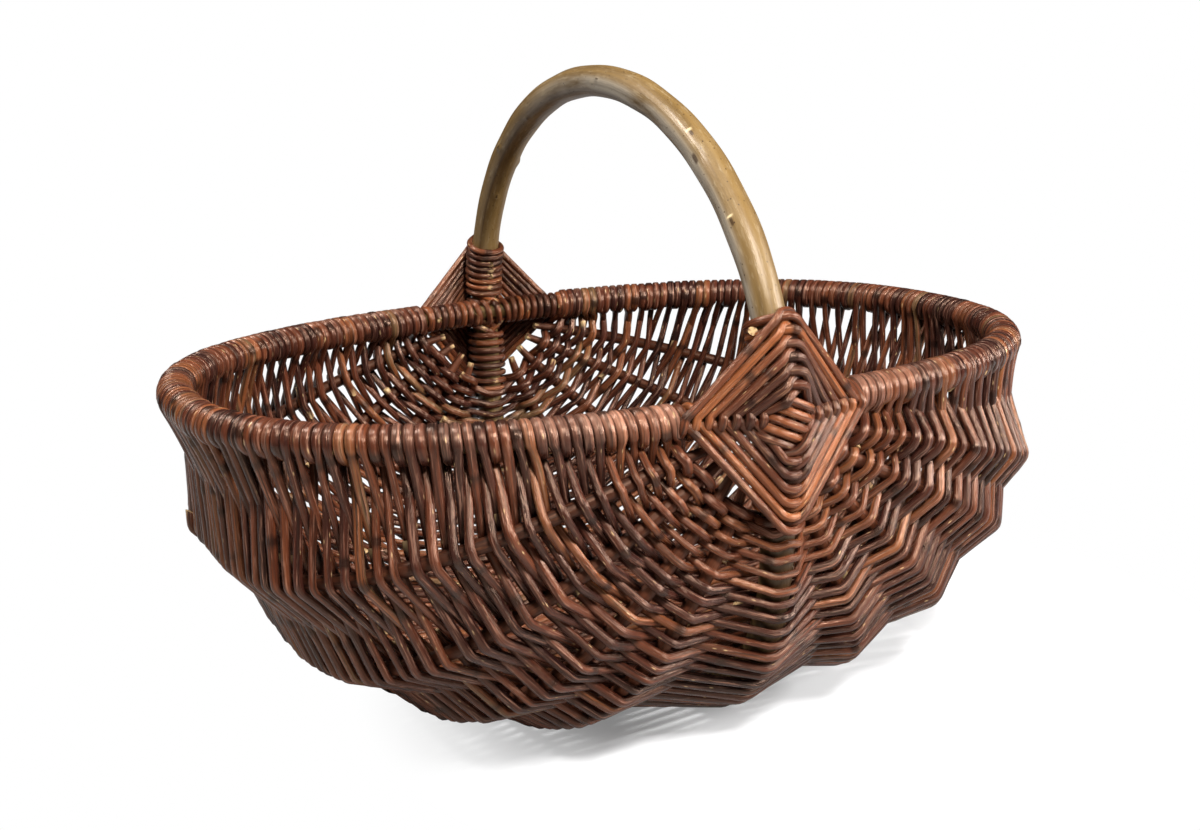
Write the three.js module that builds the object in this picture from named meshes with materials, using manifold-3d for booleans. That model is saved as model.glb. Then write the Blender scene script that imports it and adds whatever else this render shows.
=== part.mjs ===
// Oval rib basket of boiled willow. Two hoops cross at the middle of the long sides: a thick one
// is the handle and the keel, a thinner one is the rim. Diamond lashings tie the crossings, eight
// tapered ribs run between them, and courses of woven rods close the bowl from rim to rim.
// Millimetres, +Z up, X along the rim's long axis, origin on the ground under the middle.

import * as THREE from 'three';
import { mergeVertices } from 'three/addons/utils/BufferGeometryUtils.js';
import Module from 'manifold-3d';

// Driving dimensions: hoops
const rimHalfLength = 290;
const rimHalfWidth = 206;
const rimSquareness = 2.38;
const rimRodRadius = 5.8;
const handleRodRadius = 10.25;
const hoopNotchDepth = 3.55;
const handleHeight = 185.5;
const handleSquareness = 2.0;
const keelDepth = 208;
const keelSquareness = 3.6;

// Driving dimensions: ribs
const ribRodRadius = 4.5;
const ribTipRadius = 2.6;
const ribTaperLength = 34;
const ribHalfLengthX = 285;
const ribDepth = 213;
const ribTipsPastRim = 3.5;
const ribSectionSquareness = 2.75;
const ribPlanSquareness = 2.88;
const ribSideSquareness = 2.28;
const leftRibAngles = [17.7, 39.8, 59.0, 72.0];
const rightRibAngles = [17.5, 33.5, 55.0, 75.5];

// Driving dimensions: rib tips, measured from the crossing of the hoops
const firstTipOut = 40;
const firstTipDown = 16.5;
const lastTipOut = 18;
const lastTipDown = 41;

// Driving dimensions: weave
const weaverDiameter = 5.6;
const weaveRows = 140;
const weaveStartOnRim = 62;
const weaveStartOnKeel = 70;
const weaveStartOnRib = 25;
const halfCourses = [
  { rows: 18, steps: 3 }, { rows: 18, steps: 3 }, { rows: 18, steps: 2 }, { rows: 16, steps: 2 },
];
const ribRidgeFlat = 8.6;
const keelRidgeFlat = 18;
const rimTurnAngles = [80, 24, -32];
const restCutDepth = 1.0;

// Driving dimensions: lashings
const lashingRodDiameter = 3.2;
const lashingRounds = 6;
const lashingStartOnRim = 15.5;
const lashingPitchOnRim = 7.3;
const lashingStartOnHandle = 12;
const lashingPitchOnHandle = 8.6;
const lashingRunOut = 2.3;
const lashingTurnShare = 0.5;

// Clearances between pieces that touch
const rodClearance = 0.35;
const courseGap = 0.3;

// Facets
const ribSides = 6;
const rimSides = 8;
const handleSides = 12;
const lashingSides = 5;
const handleArcSteps = 18;
const lineDivisions = 1200;
const tangentReach = 1;

// The rim hoop passes inside the handle hoop, and the rib tips lie between the two
const handleHalfSpan = rimHalfWidth + rimRodRadius + handleRodRadius - hoopNotchDepth;
const ribHalfWidth = rimHalfWidth + ribTipsPastRim;
const groundLevel = -(keelDepth + handleRodRadius + weaverDiameter - restCutDepth);
const UP = new THREE.Vector3(0, 0, 1);

// Materials
const handleWood = { color: 0xa08755, roughness: 0.55, metalness: 0 };
const rodWood = { color: 0x6b4229, roughness: 0.6, metalness: 0 };
const weaveWood = { color: 0x6e3e26, roughness: 0.5, metalness: 0 };
const lashingWood = { color: 0x84502f, roughness: 0.5, metalness: 0 };

const wasm = await Module();
wasm.setup();

// Height of a superellipse of unit size over a point t of its width
function swell(t, squareness) {
  return Math.pow(Math.max(1 - Math.pow(Math.abs(t), squareness), 0), 1 / squareness);
}

// A rod's centreline from the front crossing to the back one. It starts at (outStart, downStart)
// beside the crossing and swells to (out, down) in the middle.
class RodLine extends THREE.Curve {
  constructor(sizes) {
    super();
    const plain = {
      side: 1, out: 0, down: 0, outStart: 0, downStart: 0, planSquareness: 2, sideSquareness: 2,
    };
    Object.assign(this, plain, sizes);
    this.arcLengthDivisions = lineDivisions;
  }

  getPoint(u, target = new THREE.Vector3()) {
    const t = -Math.cos(Math.PI * u);
    const x = this.outStart + (this.out - this.outStart) * swell(t, this.planSquareness);
    const z = this.downStart + (this.down - this.downStart) * swell(t, this.sideSquareness);
    return target.set(this.side * x, this.halfWidth * t, -z);
  }

  // The point at a length along the line, measured from the front end
  at(length) {
    return this.getPointAt(THREE.MathUtils.clamp(length / this.getLength(), 0, 1));
  }
}

// Solids from rings of points
function solidFromRings(rings, { closed = false, capPairs = null } = {}) {
  const count = rings[0].length;
  const positions = rings.flat().flatMap((p) => [p.x, p.y, p.z]);
  const index = [];
  const last = closed ? rings.length : rings.length - 1;
  for (let r = 0; r < last; r += 1) {
    const a = r * count;
    const b = ((r + 1) % rings.length) * count;
    for (let i = 0; i < count; i += 1) {
      const j = (i + 1) % count;
      index.push(a + i, a + j, b + j, a + i, b + j, b + i);
    }
  }
  if (!closed) {
    const cap = capPairs ?? fanCap(count);
    const end = (rings.length - 1) * count;
    for (const [i, j, k] of cap) {
      index.push(i, k, j);
      index.push(end + i, end + j, end + k);
    }
  }
  const geometry = new THREE.BufferGeometry();
  geometry.setAttribute('position', new THREE.Float32BufferAttribute(positions, 3));
  geometry.setIndex(index);
  if (signedVolume(geometry) < 0) {
    geometry.setIndex(index.map((_, n) => index[n - (n % 3) + (2 - (n % 3))]));
  }
  return geometry;
}

function fanCap(count) {
  const cap = [];
  for (let i = 1; i < count - 1; i += 1) cap.push([0, i, i + 1]);
  return cap;
}

function signedVolume(geometry) {
  const p = geometry.getAttribute('position');
  const index = geometry.getIndex().array;
  const [a, b, c] = [new THREE.Vector3(), new THREE.Vector3(), new THREE.Vector3()];
  let volume = 0;
  for (let i = 0; i < index.length; i += 3) {
    a.fromBufferAttribute(p, index[i]);
    b.fromBufferAttribute(p, index[i + 1]);
    c.fromBufferAttribute(p, index[i + 2]);
    volume += a.dot(b.cross(c)) / 6;
  }
  return volume;
}

// A round rod through points. The section is carried along without twist from the start vector.
function rod(points, radiusAt, sides, { closed = false, start = UP } = {}) {
  const rings = [];
  const across = start.clone();
  points.forEach((point, i) => {
    const before = points[closed ? (i + points.length - 1) % points.length : Math.max(i - 1, 0)];
    const after = points[closed ? (i + 1) % points.length : Math.min(i + 1, points.length - 1)];
    const along = after.clone().sub(before).normalize();
    across.addScaledVector(along, -across.dot(along)).normalize();
    const beside = along.clone().cross(across);
    const ring = [];
    for (let k = 0; k < sides; k += 1) {
      const angle = ((k + 0.5) / sides) * 2 * Math.PI;
      const radius = radiusAt(i);
      ring.push(
        point.clone()
          .addScaledVector(across, radius * Math.cos(angle))
          .addScaledVector(beside, radius * Math.sin(angle)),
      );
    }
    rings.push(ring);
  });
  return solidFromRings(rings, { closed });
}

// Joins and cuts
function toManifold(geometry) {
  const bare = geometry.clone();
  bare.deleteAttribute('normal');
  bare.deleteAttribute('uv');
  const merged = mergeVertices(bare, 1e-4);
  return new wasm.Manifold(new wasm.Mesh({
    numProp: 3,
    vertProperties: new Float32Array(merged.getAttribute('position').array),
    triVerts: new Uint32Array(merged.getIndex().array),
  }));
}

function fromManifold(manifold) {
  const mesh = manifold.getMesh();
  const geometry = new THREE.BufferGeometry();
  geometry.setAttribute('position', new THREE.Float32BufferAttribute(mesh.vertProperties, 3));
  geometry.setIndex(Array.from(mesh.triVerts));
  return geometry;
}

function cut(geometry, cutters) {
  let solid = toManifold(geometry);
  for (const cutter of cutters) solid = solid.subtract(toManifold(cutter));
  return fromManifold(solid);
}

// The frame's lines
const rimLines = [-1, 1].map((side) => new RodLine({
  side, halfWidth: rimHalfWidth, out: rimHalfLength, planSquareness: rimSquareness,
}));
const keelLine = new RodLine({ halfWidth: handleHalfSpan, down: keelDepth, sideSquareness: keelSquareness });
const handleLine = new RodLine({
  halfWidth: handleHalfSpan, down: -handleHeight, sideSquareness: handleSquareness,
});

function ribLine(side, number, angles) {
  const angle = THREE.MathUtils.degToRad(angles[number]);
  const share = number / (angles.length - 1);
  const toKeel = (number + 1) / (angles.length + 1);
  return new RodLine({
    side,
    halfWidth: ribHalfWidth,
    out: ribHalfLengthX * Math.pow(Math.cos(angle), 2 / ribSectionSquareness),
    down: ribDepth * Math.pow(Math.sin(angle), 2 / ribSectionSquareness),
    outStart: THREE.MathUtils.lerp(firstTipOut, lastTipOut, share),
    downStart: THREE.MathUtils.lerp(firstTipDown, lastTipDown, share),
    planSquareness: ribPlanSquareness,
    sideSquareness: THREE.MathUtils.lerp(ribSideSquareness, keelSquareness, toKeel),
  });
}
const leftRibLines = leftRibAngles.map((_, i) => ribLine(-1, i, leftRibAngles));
const rightRibLines = rightRibAngles.map((_, i) => ribLine(1, i, rightRibAngles));

function ribMember(line) {
  return { kind: 'rib', line, radius: ribRodRadius, start: weaveStartOnRib };
}

// All rods that the weave crosses, from the left rim under the keel to the right rim
const frame = [
  { kind: 'rim', line: rimLines[0], radius: rimRodRadius, start: weaveStartOnRim },
  ...leftRibLines.map(ribMember),
  { kind: 'keel', line: keelLine, radius: handleRodRadius, start: weaveStartOnKeel },
  ...rightRibLines.map(ribMember).reverse(),
  { kind: 'rim', line: rimLines[1], radius: rimRodRadius, start: weaveStartOnRim },
];

// Courses of the weave with their stations, as shares of the way from the front lashing to the back
const frontCourses = halfCourses.map(({ rows, steps }, i) => {
  const rowsBefore = halfCourses.slice(0, i).reduce((sum, item) => sum + item.rows, 0);
  const shares = Array.from({ length: steps + 1 }, (_, k) => (rowsBefore + rows * k / steps) / weaveRows);
  return { name: `weave_front_${i + 1}`, stations: shares };
});
const backCourses = frontCourses.map(({ name, stations: shares }) => ({
  name: name.replace('front', 'back'),
  stations: shares.map((share) => 1 - share).reverse(),
}));
const courses = [...frontCourses, ...backCourses.reverse()];
const stations = [0, ...courses.flatMap((item) => item.stations.slice(1))];

// The place on a frame rod that the weave's row at a station passes, moved along the rod by shift
function rowPlace(member, share, shift = 0) {
  const span = member.line.getLength() - 2 * member.start;
  return member.line.at(member.start + share * span + shift);
}

// Points of a frame rod at the weave's stations
function stationPoints(member) {
  return stations.map((share) => rowPlace(member, share));
}

// Hoops
function rimLoop() {
  const left = stationPoints(frame[0]);
  const right = stationPoints(frame[frame.length - 1]).reverse();
  const front = [0.5, 0, -0.5].map((share) => rimNearCrossing(share, -1));
  const back = [-0.5, 0, 0.5].map((share) => rimNearCrossing(share, 1));
  return [...left, ...back, ...right, ...front];
}

// A rim point near a crossing: share of the way from the crossing to the weave, left is negative
function rimNearCrossing(share, end) {
  const line = rimLines[share > 0 ? 1 : 0];
  const reach = Math.abs(share) * weaveStartOnRim;
  return line.at(end < 0 ? reach : line.getLength() - reach);
}

function handleLoop() {
  const keel = stationPoints(frame[leftRibLines.length + 1]);
  const toWeave = keelLine.getLength() - weaveStartOnKeel / 2;
  const arc = Array.from({ length: handleArcSteps + 1 }, (_, i) => (
    handleLine.at(handleLine.getLength() * (1 - i / handleArcSteps))
  ));
  return [...keel, keelLine.at(toWeave), ...arc, keelLine.at(weaveStartOnKeel / 2)];
}

function rimRod(extra = 0) {
  return rod(rimLoop(), () => rimRodRadius + extra, rimSides, { closed: true });
}

function handleRod(extra = 0) {
  const start = new THREE.Vector3(1, 0, 0);
  return rod(handleLoop(), () => handleRodRadius + extra, handleSides, { closed: true, start });
}

// Ribs, tapered to a blunt tip at both ends
function ribRod(line, extra = 0) {
  const length = line.getLength();
  const woven = stations.map((share) => weaveStartOnRib + share * (length - 2 * weaveStartOnRib));
  const places = [0, weaveStartOnRib / 2, ...woven, length - weaveStartOnRib / 2, length];
  const radii = places.map((place) => {
    const share = THREE.MathUtils.clamp(Math.min(place, length - place) / ribTaperLength, 0, 1);
    return THREE.MathUtils.lerp(ribTipRadius, ribRodRadius, share) + extra;
  });
  return rod(places.map((place) => line.at(place)), (i) => radii[i], ribSides);
}

// Half the width over which the rods lie flat on a frame rod
function halfRidge(member) {
  if (member.kind === 'rim') return member.radius + weaverDiameter;
  return (member.kind === 'rib' ? ribRidgeFlat : keelRidgeFlat) / 2;
}

// The weave's section at a station: outer and inner points in pairs, from left rim to right rim
function weaveSection(share, shift) {
  const places = frame.map((member) => rowPlace(member, share, shift));
  const ahead = frame.map((member) => {
    const behind = rowPlace(member, share, shift - tangentReach);
    return rowPlace(member, share, shift + tangentReach).sub(behind).normalize();
  });
  const outer = [];
  const inner = [];
  const addPair = (centre, outward, height) => {
    outer.push(centre.clone().addScaledVector(outward, height));
    inner.push(centre.clone().addScaledVector(outward, -height));
  };
  const halfFlats = frame.map(halfRidge);
  frame.forEach((member, i) => {
    const previous = places[Math.max(i - 1, 0)];
    const next = places[Math.min(i + 1, places.length - 1)];
    const beside = next.clone().sub(previous);
    beside.addScaledVector(ahead[i], -beside.dot(ahead[i])).normalize();
    const outward = ahead[i].clone().cross(beside);
    const height = member.radius + weaverDiameter;
    if (member.kind === 'rim') {
      rimPairs(places[i], outward, beside, height, i === 0, outer, inner);
    } else {
      addPair(places[i].clone().addScaledVector(beside, -halfFlats[i]), outward, height);
      addPair(places[i].clone().addScaledVector(beside, halfFlats[i]), outward, height);
    }
    if (i < places.length - 1) {
      const chord = places[i + 1].clone().sub(places[i]);
      const distance = chord.length();
      const crossing = (halfFlats[i] + distance - halfFlats[i + 1]) / 2;
      const middle = places[i].clone().addScaledVector(chord, crossing / distance);
      const along = ahead[i].clone().add(ahead[i + 1]).normalize();
      const across = chord.clone().addScaledVector(along, -chord.dot(along)).normalize();
      addPair(middle, along.clone().cross(across), weaverDiameter / 2);
    }
  });
  return [...outer, ...inner.reverse()];
}

// The rods' turn round the rim: pairs from the top down on the left rim, upwards on the right one
function rimPairs(centre, outward, beside, radius, isFirst, outer, inner) {
  const up = beside.clone().multiplyScalar(isFirst ? -1 : 1);
  for (const degrees of isFirst ? rimTurnAngles : rimTurnAngles.toReversed()) {
    const angle = THREE.MathUtils.degToRad(degrees);
    const rise = up.clone().multiplyScalar(radius * Math.sin(angle));
    outer.push(centre.clone().add(rise).addScaledVector(outward, radius * Math.cos(angle)));
    inner.push(centre.clone().add(rise).addScaledVector(outward, -radius * Math.cos(angle)));
  }
}

// Triangles that close the end of a course between its outer and inner points
function courseCap(count) {
  const cap = [];
  for (let i = 0; i < count / 2 - 1; i += 1) {
    const [a, b, c, d] = [i, i + 1, count - 2 - i, count - 1 - i];
    cap.push([a, b, c], [a, c, d]);
  }
  return cap;
}

function course(shares, cutters) {
  const rings = shares.map((share, k) => {
    const startsGap = k === 0 && share > 0;
    const endsGap = k === shares.length - 1 && share < 1;
    return weaveSection(share, (startsGap ? courseGap / 2 : 0) - (endsGap ? courseGap / 2 : 0));
  });
  return cut(solidFromRings(rings, { capPairs: courseCap(rings[0].length) }), cutters);
}

// Everything under the level that the basket stands on
function underGround() {
  const box = new THREE.BoxGeometry(4 * rimHalfLength, 4 * rimHalfWidth, keelDepth);
  return box.translate(0, 0, groundLevel - keelDepth / 2);
}

// Diamond lashing: a single rod wound round the four arms of a crossing, from the middle outwards.
// Every arm is passed in front, behind and in front again before the rod goes on to the next arm.
function lashingPoints(end) {
  const rimReach = rimRodRadius + rodClearance + lashingRodDiameter / 2;
  const handleReach = handleRodRadius + rodClearance + lashingRodDiameter / 2;
  const rimArm = { reach: rimReach, start: lashingStartOnRim, pitch: lashingPitchOnRim };
  const handleArm = { reach: handleReach, start: lashingStartOnHandle, pitch: lashingPitchOnHandle };
  const arms = [
    { ...rimArm, line: rimLines[0], along: new THREE.Vector3(-1, 0, 0) },
    { ...handleArm, line: handleLine, along: new THREE.Vector3(0, 0, 1) },
    { ...rimArm, line: rimLines[1], along: new THREE.Vector3(1, 0, 0) },
    { ...handleArm, line: keelLine, along: new THREE.Vector3(0, 0, -1) },
  ];
  const outward = new THREE.Vector3(0, end, 0);
  const points = [];
  for (let turn = 0; turn < lashingRounds * arms.length; turn += 1) {
    const arm = arms[turn % arms.length];
    const next = arms[(turn + 1) % arms.length];
    const rounds = turn / arms.length;
    const across = next.along.clone();
    const place = (share, sideways, height) => {
      const distance = arm.start + arm.pitch * (rounds + share);
      const from = end < 0 ? distance : arm.line.getLength() - distance;
      const behind = arm.line.at(from - tangentReach);
      const ahead = arm.line.at(from + tangentReach).sub(behind).normalize();
      const front = outward.clone().addScaledVector(ahead, -outward.dot(ahead)).normalize();
      return arm.line.at(from).addScaledVector(across, sideways).addScaledVector(front, height);
    };
    const reach = arm.reach;
    const runOut = reach + lashingRunOut;
    points.push(
      place(0, -runOut, reach), place(0, reach, reach),
      place(lashingTurnShare / 2, reach, -reach), place(lashingTurnShare / 2, -reach, -reach),
      place(lashingTurnShare, -reach, reach), place(lashingTurnShare, runOut, reach),
    );
  }
  return points;
}

// The least gap between a wound rod's surface and itself, away from its own neighbouring steps
function leastGap(points, diameter, samplesPerStep = 6, neighbourReach = 5) {
  const samples = [];
  for (let i = 0; i < points.length - 1; i += 1) {
    for (let k = 0; k < samplesPerStep; k += 1) {
      samples.push(points[i].clone().lerp(points[i + 1], k / samplesPerStep));
    }
  }
  const walked = [0];
  for (let i = 1; i < samples.length; i += 1) {
    walked.push(walked[i - 1] + samples[i].distanceTo(samples[i - 1]));
  }
  let least = Infinity;
  for (let i = 0; i < samples.length; i += 1) {
    for (let j = i + 1; j < samples.length; j += 1) {
      if (walked[j] - walked[i] > neighbourReach * diameter) {
        least = Math.min(least, samples[i].distanceTo(samples[j]));
      }
    }
  }
  return least - diameter;
}

// Assembly
const basket = new THREE.Group();
basket.name = 'rib_basket';
basket.position.z = -groundLevel;

function add(name, geometry, look) {
  geometry.computeVertexNormals();
  const mesh = new THREE.Mesh(geometry, new THREE.MeshStandardMaterial(look));
  mesh.name = name;
  basket.add(mesh);
}

add('handle_hoop', cut(handleRod(), [rimRod(rodClearance)]), handleWood);
add('rim_hoop', rimRod(), rodWood);
leftRibLines.forEach((line, i) => add(`rib_left_${i + 1}`, ribRod(line), rodWood));
rightRibLines.forEach((line, i) => add(`rib_right_${i + 1}`, ribRod(line), rodWood));

for (const [name, end] of [['lashing_front', -1], ['lashing_back', 1]]) {
  const points = lashingPoints(end);
  console.log(`${name}: least gap to itself ${leastGap(points, lashingRodDiameter).toFixed(2)} mm`);
  const start = new THREE.Vector3(0, end, 0);
  add(name, rod(points, () => lashingRodDiameter / 2, lashingSides, { start }), lashingWood);
}

const weaveCutters = [
  rimRod(rodClearance),
  handleRod(rodClearance),
  ...[...leftRibLines, ...rightRibLines].map((line) => ribRod(line, rodClearance)),
  underGround(),
];
courses.forEach((item) => add(item.name, course(item.stations, weaveCutters), weaveWood));

basket.updateMatrixWorld(true);
export default basket;
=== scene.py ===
"""Oval rib basket of boiled willow: two crossed hoops, eight ribs, diamond lashings and a woven bowl.

Everything is in metres, +Z up, X along the rim's long axis, with the origin on the ground under the
middle of the basket.
"""

import logging
import math
from dataclasses import dataclass, replace
from enum import Enum
from typing import Optional, Sequence, Union

import bpy
import numpy as np
from mathutils import Matrix


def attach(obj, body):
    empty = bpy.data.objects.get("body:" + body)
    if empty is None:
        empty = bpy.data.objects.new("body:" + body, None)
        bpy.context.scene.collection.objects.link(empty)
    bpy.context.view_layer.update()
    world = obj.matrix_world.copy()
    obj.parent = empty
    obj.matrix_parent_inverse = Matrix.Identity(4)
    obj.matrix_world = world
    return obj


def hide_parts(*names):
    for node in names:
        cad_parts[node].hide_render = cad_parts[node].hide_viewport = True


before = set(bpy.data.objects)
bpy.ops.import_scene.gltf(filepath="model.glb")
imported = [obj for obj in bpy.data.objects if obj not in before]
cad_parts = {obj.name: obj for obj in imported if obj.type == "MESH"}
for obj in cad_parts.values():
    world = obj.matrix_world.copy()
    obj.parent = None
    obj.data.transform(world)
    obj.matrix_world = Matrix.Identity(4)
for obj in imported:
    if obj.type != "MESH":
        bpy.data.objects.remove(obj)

logging.basicConfig(level=logging.INFO, format="%(message)s")
log = logging.getLogger("basket")

Array = np.ndarray
Colour = tuple[int, int, int]
Material = bpy.types.Material
Piece = bpy.types.Object
Socket = bpy.types.NodeSocket
Inputs = dict[Union[int, str], Union[float, Sequence[float], Socket]]
RIGHT = np.array([1.0, 0.0, 0.0])
UP = np.array([0.0, 0.0, 1.0])


class End(Enum):
    """The two crossings of the hoops, named by the side they lie on."""

    FRONT = -1
    BACK = 1


def linear(colour: Colour) -> tuple[float, ...]:
    """Turns a colour as seen on a screen, from 0 to 255, into a linear one with an alpha of 1."""
    parts = [c / 255 for c in colour]
    return (*(p / 12.92 if p <= 0.04045 else ((p + 0.055) / 1.055) ** 2.4 for p in parts), 1.0)


def unit(vectors: Array) -> Array:
    """Vectors of length 1 along the last axis."""
    return vectors / np.maximum(np.linalg.norm(vectors, axis=-1, keepdims=True), 1e-12)


def walked_along(points: Array) -> Array:
    """Lengths walked along a line at each of its points."""
    return np.concatenate([[0.0], np.cumsum(np.linalg.norm(np.diff(points, axis=0), axis=1))])


def nearest(places: Array, line: Array, parts: int = 60) -> Array:
    """Finds the point of a line that is nearest to each place, part by part to save memory.

    Args:
        places: The places.
        line: The points of the line.
        parts: Number of parts in which the places are worked through.

    Returns:
        The number of the nearest point for each place.
    """
    return np.concatenate([
        np.argmin(((part[:, None] - line) ** 2).sum(2), axis=1) for part in np.array_split(places, parts)
    ])


def joined_hoop(first: Array, second: Array) -> Array:
    """Two half hoops from front to back as one round, which starts in the middle of the second."""
    back, half = second[::-1], len(second) // 2
    return np.concatenate([back[half:], first[1:], back[1:half]])


def smooth_path(points: Array, extra: Array, step: float) -> tuple[Array, Array, Array]:
    """A smooth line through points, which bends gently between uneven steps.

    Args:
        points: The points to pass, one row each.
        extra: Values that go along with the points, one row each.
        step: Longest step of the result.

    Returns:
        The fine points, the values at them, and the index of each given point.
    """
    gaps = np.maximum(np.linalg.norm(np.diff(points, axis=0), axis=1), 1e-6)
    slopes = np.diff(points, axis=0) / gaps[:, None]
    tangents = np.empty_like(points)
    before, after = gaps[:-1, None], gaps[1:, None]
    tangents[1:-1] = (slopes[:-1] * after + slopes[1:] * before) / (before + after)
    tangents[0], tangents[-1] = slopes[0], slopes[-1]
    fine: list[Array] = []
    values: list[Array] = []
    marks = [0]
    for i, gap in enumerate(gaps):
        count = max(2, int(math.ceil(gap / step)))
        t = np.arange(count)[:, None] / count
        h00, h10 = 2 * t**3 - 3 * t**2 + 1, t**3 - 2 * t**2 + t
        h01, h11 = -2 * t**3 + 3 * t**2, t**3 - t**2
        fine.append(
            h00 * points[i] + h10 * gap * tangents[i] + h01 * points[i + 1] + h11 * gap * tangents[i + 1]
        )
        values.append(extra[i] + (extra[i + 1] - extra[i]) * t)
        marks.append(marks[-1] + count)
    return np.concatenate([*fine, points[-1:]]), np.concatenate([*values, extra[-1:]]), np.array(marks)


def thin_path(points: Array, straight: float, turn: float) -> Array:
    """Chooses points of a fine line so that bends keep more of them.

    Args:
        points: The fine line.
        straight: Step on a straight stretch.
        turn: Degrees of bend after which a point is kept.

    Returns:
        The indexes of the points to keep.
    """
    steps = np.diff(points, axis=0)
    along = unit(steps)
    bends = np.zeros(len(points))
    bends[1:-1] = np.arccos(np.clip(np.sum(along[:-1] * along[1:], axis=1), -1, 1))
    lengths = np.linalg.norm(steps, axis=1)
    cost = np.concatenate([[0.0], np.cumsum(lengths / straight + bends[1:] / math.radians(turn))])
    wanted = np.linspace(0, cost[-1], max(3, int(round(cost[-1]))) + 1)
    return np.unique(np.searchsorted(cost, wanted - 1e-9).clip(0, len(points) - 1))


def fit(piece: Piece, node: str) -> None:
    """Makes a piece ride on the basket and stand for its solid.

    Args:
        piece: The finished piece.
        node: The solid that it stands for.
    """
    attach(piece, "root")
    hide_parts(node)
    log.info("%s: %d faces, for %s", piece.name, len(piece.data.polygons), node)


@dataclass(frozen=True)
class FrameSizes:
    """Sizes of the hoops and ribs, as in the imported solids."""

    rim_half_length: float = 0.290
    rim_half_width: float = 0.206
    rim_squareness: float = 2.38
    rim_rod_radius: float = 0.0058
    handle_rod_radius: float = 0.01025
    handle_half_span: float = 0.2185
    handle_height: float = 0.1855
    handle_squareness: float = 2.0
    keel_depth: float = 0.208
    keel_squareness: float = 3.6
    rib_rod_radius: float = 0.0045
    rib_tip_radius: float = 0.0026
    rib_taper_length: float = 0.034
    rib_half_length: float = 0.285
    rib_depth: float = 0.213
    rib_half_width: float = 0.2095
    rib_section_squareness: float = 2.75
    rib_plan_squareness: float = 2.88
    rib_side_squareness: float = 2.28
    left_rib_angles: tuple[float, ...] = (17.7, 39.8, 59.0, 72.0)
    right_rib_angles: tuple[float, ...] = (17.5, 33.5, 55.0, 75.5)
    first_tip_out: float = 0.040
    first_tip_down: float = 0.0165
    last_tip_out: float = 0.018
    last_tip_down: float = 0.041
    rim_level: float = 0.22285


class RodLine:
    """A frame rod's centreline from the front crossing to the back one."""

    STEPS = 2400

    def __init__(
        self, side: int, half_width: float, out: float, down: float, level: float,
        out_start: float = 0.0, down_start: float = 0.0, plan: float = 2.0, profile: float = 2.0,
    ) -> None:
        """Samples the line.

        Args:
            side: 1 for the right half, -1 for the left half.
            half_width: Half the distance between the line's ends.
            out: How far out it swells in the middle.
            down: How far down it swells in the middle.
            level: Height of the rim plane.
            out_start: How far beside the crossing it starts.
            down_start: How far under the crossing it starts.
            plan: Squareness seen from above.
            profile: Squareness seen from the side.
        """
        t = -np.cos(np.linspace(0.0, math.pi, self.STEPS + 1))
        x = out_start + (out - out_start) * self._swell(t, plan)
        z = down_start + (down - down_start) * self._swell(t, profile)
        self.points = np.stack([side * x, half_width * t, level - z], axis=1)
        self.walked = walked_along(self.points)
        self.length = float(self.walked[-1])

    @staticmethod
    def _swell(t: Array, squareness: float) -> Array:
        """Height of a superellipse of unit size over points of its width."""
        return np.maximum(1 - np.abs(t) ** squareness, 0) ** (1 / squareness)

    def at(self, length: Array) -> Array:
        """Points at lengths along the line, measured from the front."""
        length = np.clip(length, 0.0, self.length)
        return np.stack([np.interp(length, self.walked, self.points[:, i]) for i in range(3)], axis=-1)

    def ahead(self, length: Array, reach: float = 0.0015) -> Array:
        """Directions of the line at lengths along it."""
        return unit(self.at(np.asarray(length) + reach) - self.at(np.asarray(length) - reach))

    def stepped(self, step: float) -> Array:
        """Points a step apart from the front on."""
        return self.at(np.arange(0, self.length, step))


@dataclass(frozen=True)
class Member:
    """A frame rod that the weave crosses.

    Args:
        line: Its centreline.
        radius: Its radius in the middle.
        tip: Its radius at both ends.
        start: Length at either end that the weave leaves free.
        taper: Length at either end over which it thins.
    """

    line: RodLine
    radius: float
    tip: float
    start: float
    taper: float = 1.0

    @property
    def woven(self) -> float:
        """The length that the weave covers."""
        return self.line.length - 2 * self.start

    def length_at(self, share: Array) -> Array:
        """Length along the rod at a share of the way from the front lashing to the back one."""
        return self.start + np.asarray(share) * self.woven

    def radius_at(self, length: Array) -> Array:
        """The rod's radius at lengths along it."""
        near = np.minimum(length, self.line.length - length) / self.taper
        return self.tip + (self.radius - self.tip) * np.clip(near, 0, 1)


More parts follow.
